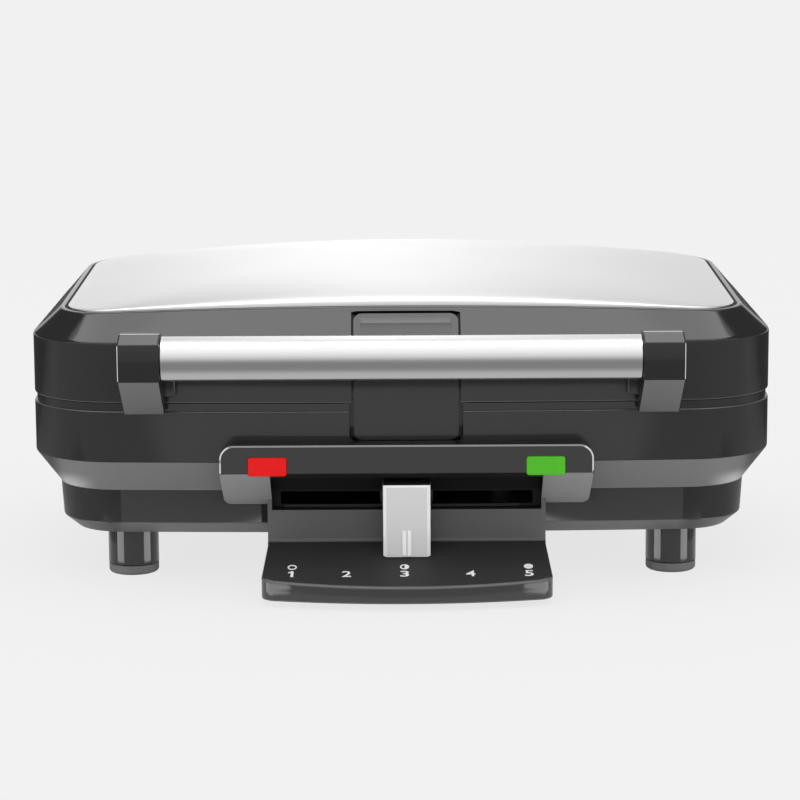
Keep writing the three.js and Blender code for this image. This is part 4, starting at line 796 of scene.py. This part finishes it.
lid_rings = [level(0.5, 99.2), level(0.15, 99.35), level(0, 99.7)]
lid_rings += [level(0, z) for z in (110, 120, 129.9)]
lid_rings += [level(0.07, 130.4), level(0.35, 130.95)]
lid_rings += [level(15 * s, along_bevel(s)) for s in (0.08, 0.3, 0.5, 0.7, 0.93)]
lid_rings += [level(14.6, over(0.32)), level(15.2, over(0.06)), level(15.9, over(0)),
              level(SHADE_FROM, over(0)), level(18.3, over(0)), level(18.6, over(0.1)),
              level(18.7, over(0.4)), level(18.7, over(2)), level(25, over(2)),
              level(25, over(4.5)), level(15, over(4.5)), level(2.5, 128.95), level(2.5, 109.5),
              level(21, 109.5), level(21, 107), level(2.5, 107), level(2.5, 99.2)]
lid = swept("lid_body", lid_rings, closed=True)
for s in (-1, 1):
    boss = prism("boss", [(-124.5, 103.5), (-124.5, 128.0), (-115.0, 128.0), (-115.0, 103.5)], "x",
                 *sorted((s * 117.5, s * 144.5)))
    bevel_edges(boss, lambda a, b, e: a.y < -124 and b.y < -124, 0.9, 3)
    boolean(lid, boss, "UNION")


def on_bevel(down, depth):
    return (-105 - 0.666 * down + 0.746 * depth, 147.5 - 0.746 * down - 0.666 * depth)


half = TAB_HALF + 1.2
inner = on_bevel(2.4, 2.5)
bay = prism("bay", [(-118.75, 99.2), (-118.75, 129.45), on_bevel(4.1, 1.25), (inner[0], 145.0),
                    (-98.8, 145.0), (-98.8, 136.0), (-104.0, 121.7), (-104.0, 99.2)], "x",
            CONTROLS - half - 2.6, CONTROLS + half + 2.6)
boolean(lid, bay, "UNION")
pocket = prism("pocket", [(-126, 93.2), (-126, BEVEL_FOOT), on_bevel(2.4, -12), inner, (-101, inner[1] - 1.2),
                          (-101, inner[1] - 9), (-106.6, 121.7), (-106.6, 93.2)], "x",
               CONTROLS - half, CONTROLS + half)
top = [Vector((0, *on_bevel(2.4, -12))), Vector((0, *inner))]


def top_corner(a, b, e):
    ends = [Vector((0, v.y, v.z)) for v in (a, b)]
    return abs(a.x - b.x) < 0.1 and all(min((p - q).length for q in top) < 0.1 for p in ends)


print("notch corners:", bevel_edges(pocket, top_corner, 5.0, 6))
boolean(lid, pocket)


def depth_in(c):
    """How far a point of the plan lies inside the outline."""
    dx = abs(c.x) - (HALF_W - CORNER)
    dy = c.y - (HALF_D - CORNER) if c.y > 0 else BOW + CORNER - HALF_D - c.y
    if dx > 0 and dy > 0:
        return CORNER - math.hypot(dx, dy)
    if dx > 0:
        return HALF_W - abs(c.x)
    return HALF_D - c.y if c.y > 0 else HALF_D + c.y - BOW * (c.x / (HALF_W - CORNER)) ** 2


# Painted shade in the groove round the steel cover, and painted highlights on the lid's lower edge and the
# bosses' inner edges.
settle(lid, "lid", ["lid_shell"], gloss, [
    (shade_black, lambda c, n: c.z > 139 and n.z > 0.9 and SHADE_FROM < depth_in(c) < 18.7),
    (edge, lambda c, n: 99.2 < c.z < 99.7 and -0.95 < n.z < -0.3),
    (edge, lambda c, n: 103.0 < c.z < 128.0 and c.y < -123.5 and 117 < abs(c.x) < 121 and n.y > -0.95),
])
print("lid:", len(lid.data.polygons), "faces")

# %% [markdown]
# # The steel cover
# A pressed sheet: its edge turns down into the ledge's seat, and it swells from a tight rolled edge to
# a low dome that dies away towards the two ends.

# %% Lid cover


def dome(share, drop=0.0):
    swell = max(0.0, 1 - share ** 2.08) ** 0.4
    return lambda x, y: ledge(x, y) + 0.6 - drop + 12.2 * swell * (1 - (x / 178) ** 2)


SHARES = [1, 0.9985, 0.996, 0.992, 0.986, 0.978, 0.967, 0.952, 0.93, 0.905, 0.87, 0.83, 0.78, 0.72,
          0.65, 0.57, 0.48, 0.38, 0.27, 0.16, 0.05]
outer = [level(19, dome(s), s) for s in SHARES]
inside = [level(19.8, dome(s, 0.8), s) for s in reversed(SHARES)]
cover = swept("steel_cover", inside + [level(19.8, over(1.7)), level(19, over(1.7))] + outer, capped=True)
settle(cover, "lid", ["lid_cover"], sheet, angle=60.0)
print("cover:", len(cover.data.polygons), "faces")

# %% [markdown]
# # The handle
# A steel tube, polished along its length, is held by two black brackets that reach forward from bosses
# on the lid. Each bracket is a moulding with flat facets and softly rounded edges.

# %% Bar and brackets
AXIS = (-142.5, 126.6)


def circle_x(x, radius):
    return [(x, y, z) for y, z in circle(AXIS, radius, 72)]


bar = swept("handle_tube", [circle_x(-122.7, 11.2), circle_x(-122.4, 11.5), circle_x(122.4, 11.5),
                            circle_x(122.7, 11.2), circle_x(122.7, 10.5), circle_x(-122.7, 10.5)],
            closed=True)
settle(bar, "lid", ["handle_bar"], steel)
BRACKET = rounded([(-142.5, 139.4), (-154, 135.6), (-154.6, 126.6), (-154, 116.2), (-122, 93.4),
                   (-122, 103.2), (-124.8, 103.2), (-124.8, 128.5), (-136.5, 139.4)],
                  [2.5, 0.8, 14, 1.0, 1, 0, 0, 2, 2.5], 5)
bracket = prism("bracket_right", BRACKET, "x", 123.0, 144.5)
bevel_edges(bracket, lambda a, b, e: abs(a.x - b.x) < 0.01, 1.0, 3)
well = prism("well", circle(AXIS, 5.3, 32), "x", 139.9, 150.0)
boolean(bracket, well)
for side, piece in (("right", bracket), ("left", copy_of(bracket, "bracket_left", mirror=True))):
    # Painted reflection on the down-facing facets, and painted highlights on the outer edges, the top facet
    # and its edge.
    settle(piece, "lid", ["handle_bracket_" + side], satin, [
        (satin_painted_reflection, lambda c, n: n.z < -0.5 and n.y < -0.3 and abs(n.x) < 0.3),
        (painted_edge_highlight_bright, lambda c, n: c.y < -136 and 119 < c.z < 134 and abs(c.x) > 143
         and 0.5 < abs(n.x) < 0.92),
        (bracket_top_painted_highlight, lambda c, n: c.y < -141 and 0.8 < n.z < 0.96 and abs(n.x) < 0.1),
        (painted_edge_highlight_bright, lambda c, n: c.z > 138.5 and c.y < -141 and 0.96 < n.z < 0.9995),
    ])
print("brackets ready")

# %% [markdown]
# # The latch tab
# A flat tab closes the notch in the middle of the front. It bends back over the bevel, where a shallow
# sink gives the fingers their hold.

# %% Latch
tab_x = (CONTROLS - TAB_HALF, CONTROLS + TAB_HALF)
tab = prism("latch_plate", [on_bevel(4.1, 0), (-120, BEVEL_FOOT), (-120, 79.6), (-117, 79.6), (-117, 128.6),
                            on_bevel(4.1, 3)], "x", *tab_x)


def tab_corner(a, b, e):
    if abs(a.x - b.x) > 0.1 or abs(a.x - CONTROLS) < 27:
        return False
    low = a.z < 80 and b.z < 80
    high = a.z > 141 and b.z > 141
    return low or high


print("tab corners:", bevel_edges(tab, tab_corner, 4.5, 6))
finger = prism("finger", [on_bevel(9.4, 0.9), on_bevel(22.4, 0.9), on_bevel(22.4, -6), on_bevel(6.6, -6),
                          on_bevel(6.6, 0.0)], "x", tab_x[0] + 3.6, tab_x[1] - 3.6)
boolean(tab, finger)
soften(tab, 0.45, 3)
hook = prism("hook", [(-117.8, 86.9), (-117.8, 89.5), (-112.1, 89.5), (-112.1, 86.9)], "x",
             CONTROLS - 24, CONTROLS + 24)
boolean(tab, hook, "UNION")
for s in (-1, 1):
    lug_x = sorted((CONTROLS + s * 11, CONTROLS + s * 19))
    lug = prism("lug", circle((-112.4, 126.3), 4.2, 24), "x", *lug_x)
    arm = prism("arm", [(-117.8, 124.2), (-117.8, 128.4), (-112.4, 128.4), (-112.4, 124.2)], "x", *lug_x)
    boolean(lug, arm, "UNION")
    boolean(tab, lug, "UNION")
# A painted reflection on a ledge where the tab bends over the bevel.
settle(tab, "latch", ["latch_tab"], gloss, [
    (satin_painted_reflection, lambda c, n: 139.0 < c.z < 143.6 and n.y < -0.85 and 0.3 < n.z < 0.5),
])
print("tab:", len(tab.data.polygons), "faces")

# %% [markdown]
# # The control housing
# One moulding carries the lamps, the slider's recess, its neck and the numbered shelf. The bar on top
# has rounded ends; the shelf's front is a shallow arc with rounded corners.

# %% Housing
bar_side = [(BAR_FRONT, BAR_TOP), (BAR_FRONT, 64.5), (-107, 43), (-101, 43), (-101, BAR_TOP)]
bar_side = rounded(bar_side, [0, 0.5, 0, 0, 0], 3)
housing = prism("control_panel", bar_side, "x", -BAR_HALF, BAR_HALF)
front_view = rounded([(1 - BAR_HALF, 43), (BAR_HALF - 1, 43), (BAR_HALF, 64), (BAR_HALF, BAR_TOP),
                      (-BAR_HALF, BAR_TOP), (-BAR_HALF, 64)], [4, 4, 2, 11, 11, 2], 12)
frame_cut = prism("view", front_view, "y", -140.0, -95.0)
boolean(housing, frame_cut, "INTERSECT")


def face_edge(a, b, e):
    return a.y < -133.9 and b.y < -133.9 and not (a.z < 65.5 and b.z < 65.5 and abs(a.x - b.x) > 20)


print("bar edge:", bevel_edges(housing, face_edge, 0.8, 1))
recess_view = [(-RECESS_HALF, 41), (RECESS_HALF, 41), (RECESS_HALF, 61.5), (-RECESS_HALF, 61.5)]
recess = prism("recess", rounded(recess_view, [0, 0, 1.5, 1.5], 4), "y", -140.0, -95.0)
boolean(housing, recess)
print("bar:", len(housing.data.polygons), "faces")


def shelf_top(y):
    return SHELF_BACK - SHELF_DROP * (NECK_FRONT - y) / SHELF_RUN


def shelf_plan(inset):
    half, radius = SHELF_HALF - inset, SHELF_CORNER - inset
    centre_y = SHELF_TIP + inset + SHELF_RADIUS
    corner_x = half - radius
    corner_y = centre_y - math.sqrt((SHELF_RADIUS - radius) ** 2 - corner_x ** 2)
    reach = math.degrees(math.atan2(corner_x, centre_y - corner_y))
    points = arc((-corner_x, corner_y), radius, 180, 270 - reach, 10)
    points += arc((0, centre_y), SHELF_RADIUS, 270 - reach, 270 + reach, 20)[1:-1]
    points += arc((corner_x, corner_y), radius, 270 + reach, 360, 10)
    side, front, back = NECK_HALF - inset, NECK_FRONT - inset, -97.3 - inset
    points += [(side, front), (side, back), (-side, back), (-side, front)]
    return points


def shelf_ring(inset, drop):
    return [(x, y, shelf_top(y) - drop) for x, y in shelf_plan(inset)]


def shelf_level(inset, z):
    return [(x, y, z) for x, y in shelf_plan(inset)]


shelf_rings = [shelf_ring(2.5, 2.5), shelf_level(2.5, 3.5), shelf_level(2.3, 3.4), shelf_level(0.9, 3.4),
               shelf_level(0.25, 3.65), shelf_level(0, 4.3), shelf_ring(0, 1.5), shelf_ring(0.12, 0.9),
               shelf_ring(0.5, 0.3), shelf_ring(1.2, 0)]
shelf = swept("shelf", shelf_rings, capped=True)
neck_side = [(NECK_FRONT, 41), (NECK_FRONT, SHELF_BACK), (-114.5, 22.86), (-114.5, 20.0), (-97, 20.0),
             (-97, 41)]
neck = prism("neck", rounded(neck_side, [1.0, 2.5, 0, 0, 0, 0], 4), "x", -NECK_HALF, NECK_HALF)


def neck_edge(a, b, e):
    return abs(a.x - b.x) < 0.1 and a.y < -111 and b.y < -111 and (a - b).length > 8


bevel_edges(neck, neck_edge, 0.8, 1)
boolean(shelf, neck, "UNION")
for s in (-1, 1):
    rib = prism("rib", [(NECK_FRONT, 38.5), (NECK_FRONT, 59), (-97, 59), (-97, 38.5)], "x",
                *sorted((s * RECESS_HALF, s * NECK_HALF)))
    boolean(shelf, rib, "UNION")
boolean(housing, shelf, "UNION")
ROOM_SIDE = [(22, 25.1), (14, 32), (13, 50.4), (0, 67.5), (0, 99)]
room = swept("room", [level(i - 0.3, z) for i, z in ROOM_SIDE], capped=True)
for vertex in room.data.vertices:
    vertex.co.x -= CONTROLS
boolean(housing, room)
for s in (-1, 1):
    left, right = s * LENS_AT - 10.3, s * LENS_AT + 10.3
    window_view = [(left, 63.0), (right, 63.0), (right, 73.4), (left, 73.4)]
    window = prism("window", rounded(window_view, 1.6, 4), "y", -140.0, -125.0)
    boolean(housing, window)
tidy(housing)
for x in (-RECESS_HALF, RECESS_HALF):
    bpy.ops.object.mode_set(mode="EDIT")
    bpy.ops.mesh.select_all(action="SELECT")
    bpy.ops.mesh.bisect(plane_co=(x, 0.0, 0.0), plane_no=(1.0, 0.0, 0.0))
    bpy.ops.object.mode_set(mode="OBJECT")
for vertex in housing.data.vertices:
    vertex.co.x += CONTROLS
# Painted reflection on the cheeks under the lamps, a painted lighter tone on the shelf's front, painted
# highlights on the lamp bar's edges and the neck's sides, painted shade in the recess, matte black on the
# shelf's top, and a painted lighter tone on the neck.
settle(housing, "base", ["control_housing"], gloss, [
    (cheek_painted_reflection, lambda c, n: n.z < -0.3 and n.y < -0.3 and 42.0 < c.z < 64.4
     and abs(c.x - CONTROLS) > RECESS_HALF),
    (painted_lighter_black, lambda c, n: c.y < -140 and n.y < -0.3 and 4.3 < c.z < 12.5 and abs(n.z) < 0.3),
    (painted_edge_highlight_mid, lambda c, n: c.y < -132.9 and c.z > 78 and n.z > 0.66 and n.y < -0.4),
    (painted_edge_highlight_bright, lambda c, n: c.y < -132.9 and c.z > 66 and n.y < -0.4 and 0.5 < math.hypot(n.x, n.z) < 0.9),
    (painted_edge_highlight_bright, lambda c, n: c.y < -110.2 and 27 < c.z < 41 and 0.4 < abs(n.x) < 0.95 and n.y < -0.3),
    (shade_black, lambda c, n: abs(c.x - CONTROLS) < 71.5 and c.y > -133.2 and 40.5 < c.z < 64.4),
    (matte_black_and_painted_shade, lambda c, n: n.z > 0.9 and c.z < 24),
    (neck_painted_lighter, lambda c, n: n.y < -0.4 and c.z < 41 and abs(n.z) < 0.9),
])
print("housing:", len(housing.data.polygons), "faces")

# %% Lenses
for name, s, finish in (("power", -1, red), ("ready", 1, green)):
    x = CONTROLS + s * LENS_AT
    lens = prism(name + "_cap", rounded([(x - 10.1, 63.2), (x + 10.1, 63.2), (x + 10.1, 73.2),
                                         (x - 10.1, 73.2)], 1.5, 5), "y", -134.5, -129.5)
    bevel_edges(lens, lambda a, b, e: a.y < -134.4 and b.y < -134.4, 0.7, 3)
    settle(lens, "base", [name + "_lens"],
           finish)
print("lenses ready")

# %% [markdown]
# # The slider
# A silver-painted block with a painted highlight on its chamfers and painted shade on its top; a raised
# double line on its front points at the scale.

# %% Knob
knob = prism("slider_block", [(-132.6, 57.9), (-133.5, 57.0), (-133.5, 19.9), (-118.5, 22.8), (-118.5, 58.3)],
             "x", CONTROLS - KNOB_HALF, CONTROLS + KNOB_HALF)
bevel_edges(knob, lambda a, b, e: a.y < -133 and b.y < -133 and abs(a.x - b.x) < 0.01, 1.7, 1)
soften(knob, 0.18, 2, 20.0)
stem = prism("stem", [(-119.3, 43), (-119.3, 49), (-101, 49), (-101, 43)], "x", CONTROLS - 8, CONTROLS + 8)
boolean(knob, stem, "UNION")
# Painted highlight on the chamfers, and painted shade on the top face, in place of the light and the dark
# recess that they reflect.
settle(knob, "browning_slider", ["browning_knob"], silver, [
    (bright_silver_and_painted_highlight, lambda c, n: c.y < -131 and (abs(n.x) > 0.2 or 0.3 < n.z < 0.9)),
    (matte_black_and_painted_shade, lambda c, n: n.z > 0.95),
])
for s in (-1, 1):
    x = CONTROLS + s * 1.3
    line_outline = [(x - 1.05, 20.7), (x + 1.05, 20.7), (x + 1.05, 33.9), (x - 1.05, 33.9)]
    line = prism("pointer_line", rounded(line_outline, [0.3, 0.3, 1.0, 1.0], 5), "y", -134.2, -133.0)
    soften(line, 0.3, 2)
    line.name = line.data.name = "pointer_line_" + ("left" if s < 0 else "right")
    settle(line, "browning_slider", None, bright_silver_and_painted_highlight)
print("knob:", len(knob.data.polygons), "faces")

# %% [markdown]
# # The printed scale
# Five white digits, and over three of them a small round sign for a pale, a golden and a dark waffle.

# %% Digits
tilt = math.atan2(SHELF_DROP, SHELF_RUN)
marks = []


def print_on_shelf(obj, x, y):
    obj.data.transform(Matrix.Translation((CONTROLS + x, y, shelf_top(y) + 0.03)) @
                       Matrix.Rotation(tilt, 4, "X"))
    marks.append(obj)


DIGIT_HEIGHT, DIGIT_LINE, SIGN_LINE = 7.1, -155.9, -144.0
PLACES = [-59.4, -31.2, -1.3, 32.7, 62.8]
WIDTHS = [2.9, 4.7, 4.5, 4.9, 4.5]
STEM = [(1.35, 0.0), (2.8, 0.0), (2.8, DIGIT_HEIGHT), (1.35, DIGIT_HEIGHT)]
FLAG = [(0.0, 4.6), (1.6, 5.5), (1.6, DIGIT_HEIGHT), (0.0, 5.9)]
for stroke in (STEM, FLAG):
    one = prism("one", stroke, "z", 0.0, 0.06)
    one.data.transform(Matrix.Translation((-1.9, 0.0, 0.0)))
    print_on_shelf(one, PLACES[0], DIGIT_LINE)
for digit, x, width in list(zip("12345", PLACES, WIDTHS))[1:]:
    bpy.ops.object.select_all(action="DESELECT")
    bpy.ops.object.text_add(location=(0, 0, 0))
    text = bpy.context.object
    text.data.body = digit
    text.data.align_x = "CENTER"
    text.data.size = 10.0
    text.data.offset = 0.12
    text.data.extrude = 0.03
    bpy.ops.object.convert(target="MESH")
    text = bpy.context.object
    span = [[f(v.co[k] for v in text.data.vertices) for f in (min, max)] for k in (0, 1)]
    text.data.transform(Matrix.Translation((-(span[0][0] + span[0][1]) / 2, -span[1][0], 0.0)))
    stretch = (width / (span[0][1] - span[0][0]), DIGIT_HEIGHT / (span[1][1] - span[1][0]), 1, 1)
    text.data.transform(Matrix.Diagonal(stretch))
    print_on_shelf(text, x, DIGIT_LINE)
for i, shape in ((0, "ring"), (2, "half"), (4, "dot")):
    ring = [(2.4 * x, 3.1 * y, 0.0) for x, y in circle((0, 0), 1.0, 32)]
    if shape == "dot":
        sign = prism("sign", [(p[0], p[1]) for p in ring], "z", 0.0, 0.05)
        print_on_shelf(sign, PLACES[i], SIGN_LINE)
        continue
    inner_ring = [(0.68 * p[0], 0.62 * p[1], p[2]) for p in ring]
    lift = [(p[0], p[1], 0.05) for p in ring]
    inner_lift = [(p[0], p[1], 0.05) for p in inner_ring]
    sign = swept("sign", [ring, lift, inner_lift, inner_ring], closed=True)
    print_on_shelf(sign, PLACES[i], SIGN_LINE)
    if shape == "half":
        part = [(p[0], p[1]) for p in inner_ring if p[0] >= -0.001]
        part.sort(key=lambda p: math.atan2(p[1], p[0]))
        sign = prism("sign", part, "z", 0.0, 0.05)
        print_on_shelf(sign, PLACES[i], SIGN_LINE)
bpy.ops.object.select_all(action="DESELECT")
for mark in marks:
    mark.select_set(True)
bpy.context.view_layer.objects.active = marks[0]
bpy.ops.object.join()
scale_marks = bpy.context.object
scale_marks.name = "scale_marks"
settle(scale_marks, "base", None, ink)
print("marks:", len(scale_marks.data.polygons), "faces")

# %% [markdown]
# # The feet
# Each foot is a turned-looking black post on a grey rubber pad with a chamfered edge.

# %% Feet


def circle_z(z, radius):
    return [(x, y, z) for x, y in circle((0, 0), radius, 64)]


POST_SIDE = [(5.3, 13.1), (5.6, 13.6), (24.9, 13.6), (25.1, 13.4)]
post = swept("post", [circle_z(z, r) for z, r in POST_SIDE], capped=True)
PAD_SIDE = [(0, 9.0), (0.0, 12.2), (0.35, 12.85), (1.2, 13.4), (4.7, 13.4), (5.0, 13.1)]
pad = swept("pad", [circle_z(z, r) for z, r in PAD_SIDE], capped=True)
for end, y in (("front", -FOOT_Y), ("rear", FOOT_Y)):
    for side, x in (("left", -FOOT_X), ("right", FOOT_X)):
        name = end + "_" + side
        settle(copy_of(post, "post_" + name, (x, y)), "base", ["foot_post_" + name], gloss)
        settle(copy_of(pad, "pad_" + name, (x, y)), "base", ["foot_pad_" + name], rubber)
bpy.data.objects.remove(post)
bpy.data.objects.remove(pad)
print("feet ready")
